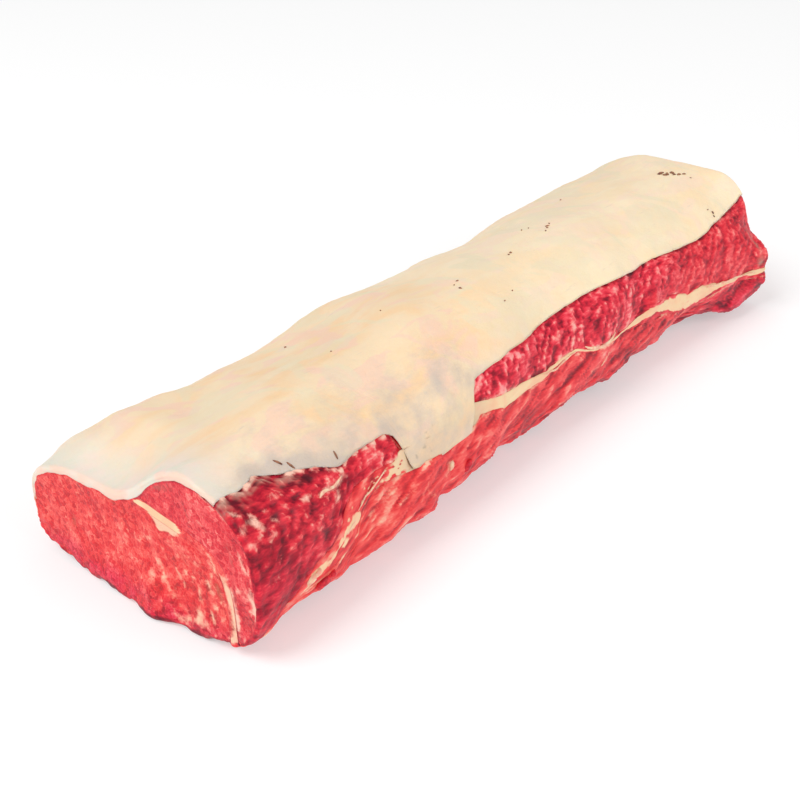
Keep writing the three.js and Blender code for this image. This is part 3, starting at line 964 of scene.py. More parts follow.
@dataclass
class EyeMuscle(LoinPiece):
    """The big round muscle: bare at the near cut, below the seam and underneath."""

    node: str = "eye_muscle"
    slot: str = "eye_lean"
    covered: int = 104
    face: int = 50
    flank_corner: float = 316.0
    thinned_below: float = 0.55

    def sides(self) -> Sequence[Side]:
        """Covered top, seam face, underside, and bare flank up to the hem."""
        face, top_bearing, foot_bearing = seam_face(SHARES, 1, -0.25, self.face)
        hem = traced(LOIN.hem, SHARES)
        over = even_bearings(hem, top_bearing, self.covered)
        corner = np.full_like(hem, self.flank_corner)
        below = even_bearings(foot_bearing, corner, self.covered, self.thinned_below)
        flank = even_bearings(corner, hem + 360, self.face)
        tuck = LOIN.outside(SHARES, flank)
        last = LOIN.under(SHARES, over, cap_depth(SHARES, over) - 0.1)
        tuck[:, -1] = last[:, 0]
        bottom = LOIN.outside(SHARES, below)
        bottom[:, 0] = face[:, -1]
        last[:, -1] = face[:, 0]
        return (Side(last, over), inner_side(face), Side(bottom, below), Side(tuck, flank))

    def dress(self, body: Body) -> None:
        """Bundles of fibre along the side, a ragged foot, and marbling on the cuts."""
        p = body.points
        outer = np.isin(body.side, (2, 3)) & (body.cut == 0)
        on_cut = body.cut > 0
        up = p[:, 2]
        fibre, flecks = eye_grain(p)
        broad = FLESH.rough(p, (30.0, 13.0, 13.0), 3)
        knobs = WARP.rough(p, 8.0, 2)
        blots = sharpened(GRAIN.rough(p, (7.0, 4.5, 4.5), 2), 2.6)
        by_cut = ease(1 - body.share * LOIN.length / 9) * ease((34 - up) / 10)
        scallops = ease(0.5 + 1.3 * WARP.rough(p, 6.5, 2)) * by_cut
        tone, marbling = cut_flesh(p)
        off_floor = ease(up / 7)
        foot = bell(body.bearing - 214, 16.0)
        grain = 0.45 * fibre + 0.35 * flecks
        relief = outer * off_floor * (0.9 * broad + grain + 1.2 * foot * knobs)
        inside = ease(-body.edge / 5) * on_cut
        relief = relief + inside * (0.35 * tone + 0.5 * broad - 0.2 * marbling)
        body.raise_by(relief)
        body.points[:, 2] += 1.7 * scallops * ease(1 + body.edge / 7)
        near = bell(body.share, 0.42)
        low = ease((24 - up) / 22)
        streaks = 0.19 * fibre + 0.17 * flecks + 0.12 * broad + 0.09 * blots
        body.paint["tone"] = 0.50 + 0.15 * near + streaks - 0.15 * low
        from_seam = (body.bearing - seam_edges(body.share)[1]) * DEGREE
        film = bell(from_seam, 2.6) * ease(0.4 + fibre)
        light = 0.5 * ease((flecks + fibre - 0.9) / 0.9) * (0.5 + 0.5 * near)
        strokes = painted(p, (LOOP_MARK,) + FOOT_MARKS + BAND_MARKS)
        body.paint["pale"] = np.clip(strokes + 0.6 * film + light, 0, 1)
        gaps = 0.6 * bell(flecks + fibre + 1.3, 0.5) + 0.35 * ease(-blots - 0.45)
        foot_dark = 0.8 * ease((14 - up) / 12) * ease(0.8 + 0.5 * knobs)
        body.paint["dark"] = np.clip(foot_dark + gaps * (1.2 - near), 0, 1)
        body.paint["rose"] = 0.5 * low + 0.35 * (1 - near) + 0.4 * ease((body.share - 0.8) / 0.1)
        body.paint["drab"] = 0.35 * ease(-broad - 0.2) * near
        paint_cut(body)


@dataclass
class SideMuscle(LoinPiece):
    """The flatter muscle on the backbone side, bare between the cap's edge and the seam."""

    node: str = "side_muscle"
    slot: str = "side_lean"
    covered: int = 42
    bare: int = 44
    tuck: float = -2.4
    tuck_turn: float = 3.5

    def sides(self) -> Sequence[Side]:
        """Covered top, bare side, and the two halves of the face on the seam."""
        full, top_bearing, foot_bearing = seam_face(SHARES, -1, -0.25, self.covered + self.bare - 1)
        edge = np.minimum(cap_edge(SHARES), foot_bearing - 0.6)
        over = even_bearings(top_bearing, edge, self.covered)
        bare = even_bearings(edge, foot_bearing, self.bare)
        top = LOIN.under(SHARES, over, cap_depth(SHARES, over) - 0.1)
        tongue = ease((SHARES - 0.208) / 0.01) * ease((0.345 - SHARES) / 0.01)
        skin = LOIN.outside(SHARES, bare, self.tuck * tongue)
        # The covered top comes up to the bare skin over its last few points.
        blend = ease((over - edge + self.tuck_turn) / self.tuck_turn)[..., None]
        top = top * (1 - blend) + LOIN.outside(SHARES, over, self.tuck * tongue) * blend
        top[:, 0], skin[:, -1] = full[:, 0], full[:, -1]
        skin[:, 0] = top[:, -1]
        lower = full[:, self.bare - 1:][:, ::-1]
        upper = full[:, :self.bare][:, ::-1]
        return (Side(top, over), Side(skin, bare), inner_side(lower), inner_side(upper))

    def dress(self, body: Body) -> None:
        """Comb-like strokes along the far strip, a lumpy dark side near the cut, and a painted shadow under
        the cap's edge.
        """
        p = body.points
        outer = (body.side == 1) & (body.cut == 0)
        on_cut = body.cut > 0
        up = p[:, 2]
        bent = p + 3.0 * WARP.warp(p, 15.0, 13)
        comb = side_flesh(bent, 62.0, 8.0, 2.1, 2.6)
        mottle = side_flesh(p, 52.0, 5.4, 2.3, 2.2)
        broad = FLESH.rough(p, 18.0, 3)
        tone, _ = cut_flesh(p)
        far = ease((body.share - 0.3) / 0.06)
        nodule = bell(np.linalg.norm(p - LOIN.spot(0.7, 168.5), axis=1), 4.6)
        nub = np.clip(nodule * 1.4 + painted(p, (RED_NUB,)), 0, 1)
        grain = far * 0.55 * comb * (1 - nodule) + (1 - far) * 0.6 * mottle
        relief = outer * (0.6 * broad + grain + 2.2 * nodule)
        inside = ease(-body.edge / 4) * on_cut
        body.raise_by(relief + inside * (0.35 * tone + 0.4 * broad))
        farther = ease((body.share - 0.7) / 0.1)
        strip = 0.54 + (0.28 - 0.08 * farther) * comb + 0.10 * broad
        strip = strip + 0.10 * bell(body.share - 0.38, 0.05)
        strip = strip * (1 - nub) + 0.6 * nub
        smooth_low = ease((60 - up) / 18) * bell(body.share - 0.03, 0.05)
        near = 0.39 + (0.22 - 0.14 * smooth_low) * mottle + 0.12 * broad
        finger = bell((body.share - 0.172) * LOIN.length, 22.0)
        body.paint["tone"] = far * strip + (1 - far) * (near + 0.24 * finger)
        from_edge = (body.bearing - cap_edge(body.share)) * 1.2
        film = bell(from_edge, 2.4) * (1 - far) * ease(0.55 + mottle)
        from_seam = (seam_edges(body.share)[0] - body.bearing) * DEGREE
        film = film + 0.8 * bell(from_seam, 2.2) * ease(0.4 + broad)
        flecks = 0.6 * ease((mottle - 0.55) / 0.6) * (1 - far) * (1 - smooth_low)
        flecks = flecks + (0.6 - 0.42 * farther) * ease((comb - 0.5) / 0.7) * far * (1 - nub)
        body.paint["pale"] = np.clip(painted(p, PALE_MARKS + BAND_MARKS) + 0.6 * film + flecks, 0, 1)
        # Painted shadow: a dark line under the cap's overhanging edge, from just short of the middle of the
        # loin onwards.
        shadow = bell(from_edge, 1.5) * ease((body.share - 0.45) / 0.12)
        gaps = (0.5 - 0.25 * farther) * (1 - nub) * bell(comb + 1.0, 0.35) * far
        gaps = gaps + 0.38 * bell(mottle + 1.0, 0.35) * (1 - far)
        dark = 0.9 * painted(p, DARK_MARKS) + 0.45 * shadow + gaps
        body.paint["dark"] = np.clip(dark + 0.2 * smooth_low - 0.4 * finger, 0, 1)
        body.paint["rose"] = 0.3 + 0.25 * far + 0.4 * smooth_low - 0.35 * np.maximum(farther, nub)
        veil = bell(from_edge, 7.0) * ease((0.11 - body.share) / 0.04) * ease(0.75 + 0.7 * mottle)
        body.paint["drab"] = np.clip(0.85 * veil + painted(p, (MAUVE_MARK,)), 0, 1)
        paint_cut(body)


@dataclass
class SeamFat(LoinPiece):
    """The seam of fat between the two muscles, which comes out as a streaky band."""

    node: str = "seam_fat"
    slot: str = "seam_fat"
    face: int = 60
    skin: int = 12
    cut_proud: float = 0.08

    def sides(self) -> Sequence[Side]:
        """Face on the side muscle, skin, face on the eye, and top."""
        towards_side, top_side, foot_side = seam_face(SHARES, -1, 0.0, self.face)
        towards_eye, top_eye, foot_eye = seam_face(SHARES, 1, 0.0, self.face)
        over = np.linspace(0, 1, self.skin)
        skin = foot_side + (foot_eye - foot_side) * over
        height = 0.5 - 0.45 * flat_join(SHARES) - 2.4 * seam_hidden(SHARES)
        outside = LOIN.outside(SHARES, skin, height * np.sin(np.pi * over) ** 0.5)
        outside[:, 0], outside[:, -1] = towards_side[:, -1], towards_eye[:, -1]
        span = over[None, :, None]
        top = towards_eye[:, :1] * (1 - span) + towards_side[:, :1] * span
        return (
            inner_side(towards_side), Side(outside, skin), inner_side(towards_eye[:, ::-1]),
            inner_side(top, 90.0),
        )

    def dress(self, body: Body) -> None:
        """Streaks of red between the strands of fat, strongest in the slanting band near the cut."""
        p = body.points
        outer = (body.side == 1) & (body.cut == 0)
        upper, lower = seam_edges(body.share)
        over = np.clip((body.bearing - upper) / (lower - upper), 0, 1)
        fibre, flecks = eye_grain(p)
        broad = FLESH.rough(p, 14.0, 3)
        small = GRAIN.rough(p, 4.5, 2)
        body.points[:, 0] += self.cut_proud * (1.0 * (body.cut == FAR_CUT) - (body.cut == NEAR_CUT))
        level = np.maximum(seam_hidden(body.share), flat_join(body.share))
        body.raise_by(outer * (0.4 * broad + 0.4 * fibre) * (1 - level))
        start, end = (np.interp(body.share, *zip(*line)) for line in SEAM_BAND)
        wander = 0.16 * broad + 0.10 * small
        cover = ease((over + wander - start) / 0.14 + 0.5) * ease((end - over + wander) / 0.14 + 0.5)
        band = ease((body.share - 0.05) / 0.02) * ease((0.224 - body.share) / 0.016)
        strands = side_flesh(p + 60.0, 30.0, 13.0, 1.7, 2.4)
        patchy = 0.45 * bell(body.share - 0.8, 0.11) * ease(-0.1 - strands)
        cover = cover * (1 - np.maximum(band * (1 - ease(0.30 + 0.7 * strands)), patchy))
        marks = painted(p, BAND_MARKS + (LOOP_MARK,)) * (1 - 0.7 * band * ease(0.3 - strands))
        cover = np.maximum(cover, marks)
        body.paint["tone"] = 0.6 + 0.19 * fibre + 0.17 * flecks + 0.10 * broad - 0.04 * band
        body.paint["pale"] = 0.3 * ease((flecks - 0.4) / 0.8) * (1 - band)
        body.paint["dark"] = 0.4 * bell(fibre + 1.0, 0.35) + 0.3 * band * ease(-0.3 - strands)
        body.paint["rose"] = 0.15 + 0.4 * ease((body.share - 0.4) / 0.1)
        body.paint["drab"] = np.zeros(len(p))
        paint_cut(body)
        near_cover = wedge_cover(p) * ease((body.points[:, 1] - LOIN.centring[1] + 41) / 3)
        beyond = np.where(body.cut == FAR_CUT, 0.9, np.clip(cover, 0, 1))
        body.paint["fat"] = np.where(body.cut == NEAR_CUT, near_cover, beyond)
        tongue = ease((body.share - 0.19) / 0.04) * ease((0.37 - body.share) / 0.04)
        body.paint["grey"] = np.clip(tongue * 0.6 + painted(p, SMUDGES, 1.4), 0, 1)


@dataclass
class FatCap(LoinPiece):
    """The cap of fat over the top, thin and grey at the near edge, thick and creamy further on."""

    node: str = "fat_cap"
    slot: str = "cap_fat"
    across: int = 122
    lip: int = 6
    lip_places: tuple = (0, 0.12, 0.14, 0.2, 0.213, 0.36, 0.42, 1)
    lip_prouds: tuple = (0.3, 0.3, 0.8, 0.7, 0.1, 0.1, 0.9, 1.7)
    lip_depths: tuple = (0.9, 0.9, 1.6, 1.4, 0.2, 0.2, 2.0, 2.4)
    lie: float = -51.5

    def sides(self) -> Sequence[Side]:
        """Top, backbone lip, underside and flank hem. The lips are half-rounds."""
        hem, edge = traced(LOIN.hem, SHARES), cap_edge(SHARES)
        hem = hem + ragged(SHARES, 20.0, 2.0, 5.0)
        over = even_bearings(hem, edge, self.across)
        lip_proud = np.interp(SHARES, self.lip_places, self.lip_prouds)
        further = along(LOIN.cap_prouds, SHARES) - lip_proud
        smooth_edge = traced(LOIN.fat_edge, SHARES, 0.03)
        proud = lip_proud + further * ease((smooth_edge - over) / 14)
        top = LOIN.outside(SHARES, over, proud)
        depth = cap_depth(SHARES, over)
        thin = np.interp(SHARES, self.lip_places, self.lip_depths)
        depth = thin + (depth - thin) * ease((edge - over) / 9)
        under = LOIN.under(SHARES, over, depth)
        span = np.linspace(0, np.pi, self.lip)
        lips = []
        for start, end in ((top[:, -1:], under[:, -1:]), (under[:, :1], top[:, :1])):
            half = np.linalg.norm(end - start, axis=-1, keepdims=True) / 2
            out = np.stack([(end - start)[..., 1], -(end - start)[..., 0]], axis=-1)
            out = -out / np.maximum(np.linalg.norm(out, axis=-1, keepdims=True), 1e-9)
            centre = (start + end) / 2
            turn = span[None, :, None]
            round_out = out * half * 0.8 * np.sin(turn)
            lips.append(centre + (start - centre) * np.cos(turn) + round_out)
        edge_line, hem_line = (np.repeat(line, self.lip, axis=1) for line in (edge, hem))
        return (
            Side(top, over), Side(lips[0], edge_line), Side(under[:, ::-1], over[:, ::-1]),
            Side(lips[1], hem_line),
        )

    def dress(self, body: Body) -> None:
        """Low rolling relief with small dimples; where the fat is thin, warm or cool; and a painted light
        that makes its far half paler.
        """
        p = body.points
        outer = np.isin(body.side, (0, 1, 3)) & (body.cut == 0)
        lying = turned_flat(p, self.lie)
        roll = WARP.rough(lying, (60.0, 26.0, 30.0), 3)
        small = GRAIN.rough(lying, (16.0, 7.0, 9.0), 3)
        pits = bell(FLECK.rough(p, 5.0, 2) - 0.95, 0.22)
        inside = traced(LOIN.fat_edge, body.share, 0.02) - body.bearing
        edge_rise = bell(inside * 1.2, 7.0)
        body.raise_by(outer * (0.9 * roll + 0.35 * small - 0.45 * pits + 0.3 * edge_rise * small))
        near = bell(body.share, 0.05)
        from_edge = np.maximum(inside, 0) * DEGREE
        from_lip = (cap_edge(body.share) - body.bearing) * DEGREE
        film = bell(from_lip, 9.0) * bell(body.share - 0.075, 0.07)
        grey = bell(from_edge, 46.0) * ease((body.share - 0.02) / 0.08) * ease((0.44 - body.share) / 0.12)
        grey = grey + 0.65 * bell(body.share - 0.28, 0.06) * bell(body.bearing - 137, 13.0)
        body.paint["thin"] = np.clip(0.95 * film + 0.55 * grey * (0.8 + 0.5 * small), 0, 1)
        far_chill = bell(body.share - 0.4, 0.05) * bell(from_edge, 12.0)
        body.paint["chill"] = np.clip(0.9 * near + 0.35 * far_chill, 0, 1)
        body.paint["smudge"] = np.clip(painted(p, SMUDGES, 1.4), 0, 1)
        # Painted light: the far half of the cap is painted paler, making up for the key lamp's light
        # falling off along the loin.
        body.paint["clear"] = 0.42 * ease((body.share - 0.40) / 0.12)
        body.paint["rim"] = 0.85 * ease(1 - body.share * LOIN.length / 3.5) * ease(0.6 + small)


# ---------------------------------------------------------------- small pieces


class Owner(Enum):
    """The solids that small pieces belong to."""

    CAP = "fat_cap"
    SEAM = "seam_fat"
    EYE = "eye_muscle"


@dataclass(frozen=True)
class Pebble:
    """A small flattened lump on the surface, at a (share, bearing), with its three half sizes."""

    place: tuple
    sizes: tuple
    proud: float = 0.0
    turn: float = 0.0


def skin_frame(share: float, bearing: float, proud: float) -> tuple[Array, Array, Array, Array]:
    """A point of the outside, and its directions along the loin, round it and outwards."""
    here = LOIN.spot(share, bearing, proud)
    behind, before = max(share - 0.004, 0.0), min(share + 0.004, 1.0)
    ahead = LOIN.spot(before, bearing, proud) - LOIN.spot(behind, bearing, proud)
    round_it = LOIN.spot(share, bearing + 1.0, proud) - LOIN.spot(share, bearing - 1.0, proud)
    ahead /= np.linalg.norm(ahead)
    out = np.cross(round_it, ahead)
    out /= np.linalg.norm(out)
    if out @ (here - np.array([here[0], 0.0, 40.0])) < 0:
        out = -out
    return here, ahead, np.cross(out, ahead), out


def pebble_mesh(pebbles: Sequence[Pebble], seed: float) -> tuple[Array, Array]:
    """Flattened lumps joined into one closed mesh each.

    A lump is a globe of 5 rings and 8 sides, pressed to its half sizes along the surface, round it
    and outwards, with a rough field on its radius.

    Args:
        pebbles: The lumps.
        seed: Moves the rough field.

    Returns:
        The points and the triangles.
    """
    rings, sides = 5, 8
    fall = np.pi * (np.arange(rings) + 1) / (rings + 1)
    turn = 2 * np.pi * np.arange(sides) / sides
    globe = np.stack([
        np.outer(np.sin(fall), np.cos(turn)), np.outer(np.sin(fall), np.sin(turn)),
        np.repeat(np.cos(fall)[:, None], sides, axis=1),
    ], axis=-1).reshape(-1, 3)
    globe = np.concatenate([globe, [[0, 0, 1.0], [0, 0, -1.0]]])
    faces = []
    for j in range(sides):
        k = (j + 1) % sides
        top, low = rings * sides, rings * sides + 1
        faces += [(j, k, top), ((rings - 1) * sides + k, (rings - 1) * sides + j, low)]
        for i in range(rings - 1):
            a, b = i * sides + j, i * sides + k
            faces += [(a, a + sides, b), (b, a + sides, b + sides)]
    points, triangles = [], []
    for number, pebble in enumerate(pebbles):
        here, ahead, round_it, out = skin_frame(*pebble.place, pebble.proud)
        turned_by = np.radians(pebble.turn)
        one = ahead * np.cos(turned_by) + round_it * np.sin(turned_by)
        two = np.cross(out, one)
        bumpy = globe * (1 + 0.28 * RAGGED.rough(globe * 4 + seed + 11.3 * number, 3.0, 2))[:, None]
        basis = np.stack([one, two, out]) * np.array(pebble.sizes)[:, None]
        triangles.append(np.array(faces) + number * len(globe))
        points.append(here + bumpy @ basis)
    return np.concatenate(points), np.concatenate(triangles)


@dataclass(frozen=True)
class Strand:
    """A strand lying on the surface, through (share, bearing) places, thick in the middle."""

    places: tuple
    half_width: float
    proud: float = 0.0


def strand_mesh(strands: Sequence[Strand]) -> tuple[Array, Array]:
    """Strands as closed tubes of 8 sides that taper to both ends.

    Each tube follows the smooth curve through its places, moved a little by a rough field, and is
    pressed flat to 0.6 of its width outwards.

    Args:
        strands: The strands.

    Returns:
        The points and the triangles.
    """
    sides, steps, flatness = 8, 26, 0.6
    points, triangles, offset = [], [], 0
    for strand in strands:
        known = np.array([LOIN.spot(*place, strand.proud) for place in strand.places])
        t = np.linspace(0, 1, steps)
        line = np.stack([along(known[:, axis], t) for axis in range(3)], axis=1)
        line = line + 0.5 * WARP.warp(line, 5.0, 4)
        run = np.gradient(line, axis=0)
        run /= np.linalg.norm(run, axis=1, keepdims=True)
        _, _, _, out = skin_frame(*strand.places[len(strand.places) // 2], strand.proud)
        beside = np.cross(run, out)
        beside /= np.linalg.norm(beside, axis=1, keepdims=True)
        outward = np.cross(beside, run)
        width = strand.half_width * np.sin(np.pi * (0.04 + 0.92 * t)) ** 0.5
        width = width * (1 + 0.3 * GRAIN.at(line, 3.0))
        turn = 2 * np.pi * np.arange(sides) / sides
        sideways, upwards = np.cos(turn)[None, :, None], flatness * np.sin(turn)[None, :, None]
        reach = sideways * beside[:, None] + upwards * outward[:, None]
        ring = (line[:, None] + width[:, None, None] * reach).reshape(-1, 3)
        faces = []
        for i in range(steps - 1):
            for j in range(sides):
                a, b = i * sides + j, i * sides + (j + 1) % sides
                faces += [(a, b, a + sides), (b, b + sides, a + sides)]
        last = (steps - 1) * sides
        for j in range(1, sides - 1):
            faces += [(0, j + 1, j), (last, last + j, last + j + 1)]
        points.append(ring)
        triangles.append(np.array(faces) + offset)
        offset += len(ring)
    return np.concatenate(points), np.concatenate(triangles)


def small_piece(
    name: str, mesh_data: tuple[Array, Array], material: bpy.types.Material,
) -> bpy.types.Object:
    """Makes one small piece that rides on the loin.

    Args:
        name: The name of the piece.
        mesh_data: Points in millimetres, and triangles.
        material: Its finish.

    Returns:
        The object.
    """
    points, triangles = mesh_data
    a, b, c = (points[triangles[:, k]] for k in range(3))
    if np.einsum("ij,ij->", a, np.cross(b, c)) < 0:
        triangles = triangles[:, ::-1]
    mesh = bpy.data.meshes.new(name)
    mesh.from_pydata((points * MM).tolist(), [], triangles.tolist())
    made = linked(name, mesh, material)
    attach(made, "root")
    LOG.info("%s: %d triangles", name, len(triangles))
    return made


# Dried specks on the fat: their places and half sizes.
SPECKS = (
    (0.932, 98.5, 1.5), (0.937, 98, 1.9), (0.935, 101.5, 2), (0.941, 101, 1.3),
    (0.948, 102.5, 1.8), (0.944, 104.5, 1.2), (0.95, 106, 1.7), (0.957, 107.5, 1.3),
    (0.668, 96, 1.2), (0.662, 97.5, 0.8), (0.651, 99.5, 0.7), (0.676, 95, 0.6),
    (0.576, 100, 1.1), (0.569, 100.8, 0.7), (0.908, 133.5, 0.9), (0.904, 135.5, 0.7),
    (0.902, 131.5, 0.6), (0.461, 102.5, 0.7), (0.446, 108, 0.8), (0.45, 104, 0.5),
    (0.662, 87, 0.6), (0.655, 85, 0.6), (0.953, 112, 0.6), (0.462, 125, 0.5),
    (0.49, 122, 0.5), (0.262, 97, 0.5), (0.36, 92, 0.5), (0.8, 70, 0.6),
    (0.3, 60, 0.6), (0.55, 40, 0.7),
)
# Short dark ticks by the cap's edge: their places and which way they point.
TICKS = (((0.0865, 133), -82), ((0.079, 129.5), -70), ((0.134, 138.5), -100))
STRANDS = (
    Strand(((0.548, 170.5), (0.564, 175.5), (0.584, 178.5), (0.602, 178), (0.614, 175)), 1.1, 0.6),
    Strand(((0.464, 171), (0.476, 171.5), (0.488, 172.5), (0.508, 171), (0.53, 169.5)), 0.7, 0.5),
    Strand(((0.84, 184), (0.868, 186.5), (0.898, 186.8), (0.938, 188), (0.978, 190.5)), 0.8, 0.5),
    Strand(((0.186, 157.5), (0.166, 160.5), (0.15, 164), (0.138, 169)), 0.6, 0.3),
    Strand(((0.136, 170), (0.126, 177), (0.112, 182.5), (0.096, 184.5)), 0.6, 0.3),
    Strand(((0.092, 149.5), (0.1, 148), (0.112, 148.5), (0.128, 146.5)), 0.8, 0.5),
    Strand(((0.604, 188), (0.598, 192), (0.588, 196)), 0.9, 0.4),
)
FAT_SCRAPS = (
    Pebble((0.068, 193.5), (3.6, 2.6, 1.6), 0.2, 30), Pebble((0.076, 191.5), (2.4, 1.8, 1.4), 0.4, 60),
    Pebble((0.29, 188.5), (3, 2, 1), 0, 70),
)
LEAN_SCRAPS = (
    Pebble((0.088, 203.5), (4.6, 3, 2.2), 0.4, 20), Pebble((0.098, 201), (2.6, 2.2, 1.8), 0.6, 0),
    Pebble((0.318, 197.5), (4, 3, 1.8), 0.2, 40),
)


def cap_specks(skin: Array) -> list[Pebble]:
    """The specks and ticks on the fat, each set on the cap's finished surface.

    Args:
        skin: The points of the finished cap.

    Returns:
        The pebbles, half sunk in the fat.
    """
    dice = np.random.default_rng(7)
    specks = [
        Pebble((share, bearing), (size * 1.3, size * 0.8, 0.7), 0.0, dice.uniform(0, 180))
        for share, bearing, size in SPECKS
    ]
    specks += [Pebble(place, (2.6, 0.55, 0.6), 0.0, turn) for place, turn in TICKS]
    seated = []
    for speck in specks:
        here, _, _, out = skin_frame(*speck.place, 0.0)
        away = np.linalg.norm(np.cross(skin - here, out), axis=1)
        above = (skin - here) @ out
        close = (away < 2.6) & (np.abs(above) < 6)
        proud = float(above[close].max()) - 0.1 if close.any() else 0.5
        seated.append(replace(speck, proud=proud))
    return seated


def build_small_pieces(finisher: "Finisher", skin: Array) -> None:
    """Makes the specks, the strands and the scraps.

    Args:
        finisher: Makes their materials.
        skin: The points of the finished cap.
    """
    speck = SPECK_FINISH.make(finisher)
    small_piece("fat_specks", pebble_mesh(cap_specks(skin), 3.0), speck)
    strand = STRAND_FINISH.make(finisher)
    small_piece("seam_strands", strand_mesh(STRANDS), strand)
    small_piece("fat_scraps", pebble_mesh(FAT_SCRAPS, 5.0), strand)
    scrap = SCRAP_FINISH.make(finisher)
    small_piece("lean_scraps", pebble_mesh(LEAN_SCRAPS, 9.0), scrap)


# ---------------------------------------------------------------- shader building


class Tree:
    """Adds nodes to one node tree and joins them."""

    def __init__(self, tree: bpy.types.NodeTree) -> None:
        """Takes the tree to work in."""
        self.tree = tree

    def add(self, kind: str, inputs: dict | None = None, **settings: object) -> bpy.types.Node:
        """Adds a node.

        Args:
            kind: The node's type.
            inputs: What goes into its sockets, by name or number: a socket or a value.
            settings: Its own settings.

        Returns:
            The node.
        """
        node = self.tree.nodes.new(kind)
        for key, value in settings.items():
            setattr(node, key, value)
        for key, value in (inputs or {}).items():
            self.put(node.inputs[key], value)
        return node

    def put(self, socket: bpy.types.NodeSocket, value: object) -> None:
        """Joins a socket to an input, or sets its value; a colour is made opaque."""
        if isinstance(value, bpy.types.NodeSocket):
            self.tree.links.new(value, socket)
        elif socket.type == "RGBA":
            socket.default_value = (*value, 1.0)
        else:
            socket.default_value = value

    def math(self, operation: str, a: object, b: object = 0.0, clamp: bool = False) -> Socket:
        """One sum of two numbers."""
        node = self.add("ShaderNodeMath", {0: a, 1: b}, operation=operation, use_clamp=clamp)
        return node.outputs[0]

    def times(self, a: object, b: object, clamp: bool = False) -> Socket:
        """The product of two numbers."""
        return self.math("MULTIPLY", a, b, clamp)

    def plus(self, a: object, b: object, factor: float = 1.0) -> Socket:
        """A number, and a factor of another added."""
        return self.math("ADD", a, b if factor == 1.0 else self.times(b, factor))

    def centred(self, a: object) -> Socket:
        """A number from 0 to 1 less a half."""
        return self.math("SUBTRACT", a, 0.5)

    def span(self, value: object, low: float, high: float) -> Socket:
        """A smooth step of a number between two limits."""
        limits = {"Value": value, "From Min": low, "From Max": high}
        node = self.add("ShaderNodeMapRange", limits, interpolation_type="SMOOTHSTEP")
        return node.outputs[0]

    def mix(self, share: object, a: object, b: object) -> Socket:
        """Two colours mixed by a share."""
        return self.add("ShaderNodeMix", {0: share, 6: a, 7: b}, data_type="RGBA").outputs[2]

    def blend(self, share: object, a: object, b: object) -> Socket:
        """Two numbers mixed by a share."""
        return self.add("ShaderNodeMix", {0: share, 2: a, 3: b}, data_type="FLOAT").outputs[0]

    def ramp(self, value: object, stops: Sequence[tuple[float, Colour]]) -> Socket:
        """A colour ramp through (place, colour) stops."""
        node = self.add("ShaderNodeValToRGB", {0: value})
        elements = node.color_ramp.elements
        while len(elements) < len(stops):
            elements.new(0.5)
        for element, (place, colour) in zip(elements, stops):
            element.position = place
            element.color = (*colour, 1.0)
        return node.outputs[0]

    def noise(self, vector: object, scale: object, detail: float = 3.0, **more: object) -> Socket:
        """Blender's own noise, 0 to 1."""
        inputs = {"Vector": vector, "Scale": scale, "Detail": detail, **more}
        return self.add("ShaderNodeTexNoise", inputs).outputs[0]

    def paint(self, name: str) -> Socket:
        """A number painted on the mesh."""
        return self.add("ShaderNodeAttribute", attribute_name=name).outputs["Fac"]

    def place(self, stretch: tuple = (1.0, 1.0, 1.0), turn: tuple = (0.0, 0.0, 0.0)) -> Socket:
        """Object coordinates, turned and stretched."""
        vector = self.add("ShaderNodeTexCoord").outputs["Object"]
        inputs = {"Vector": vector, "Rotation": turn, "Scale": stretch}
        return self.add("ShaderNodeMapping", inputs).outputs[0]


def srgb(red: float, green: float, blue: float) -> Colour:
    """A colour given as 0 to 255 on the screen, as linear light."""
    def linear(value: float) -> float:
        value /= 255
        return value / 12.92 if value <= 0.04045 else ((value + 0.055) / 1.055) ** 2.4
    return (linear(red), linear(green), linear(blue))


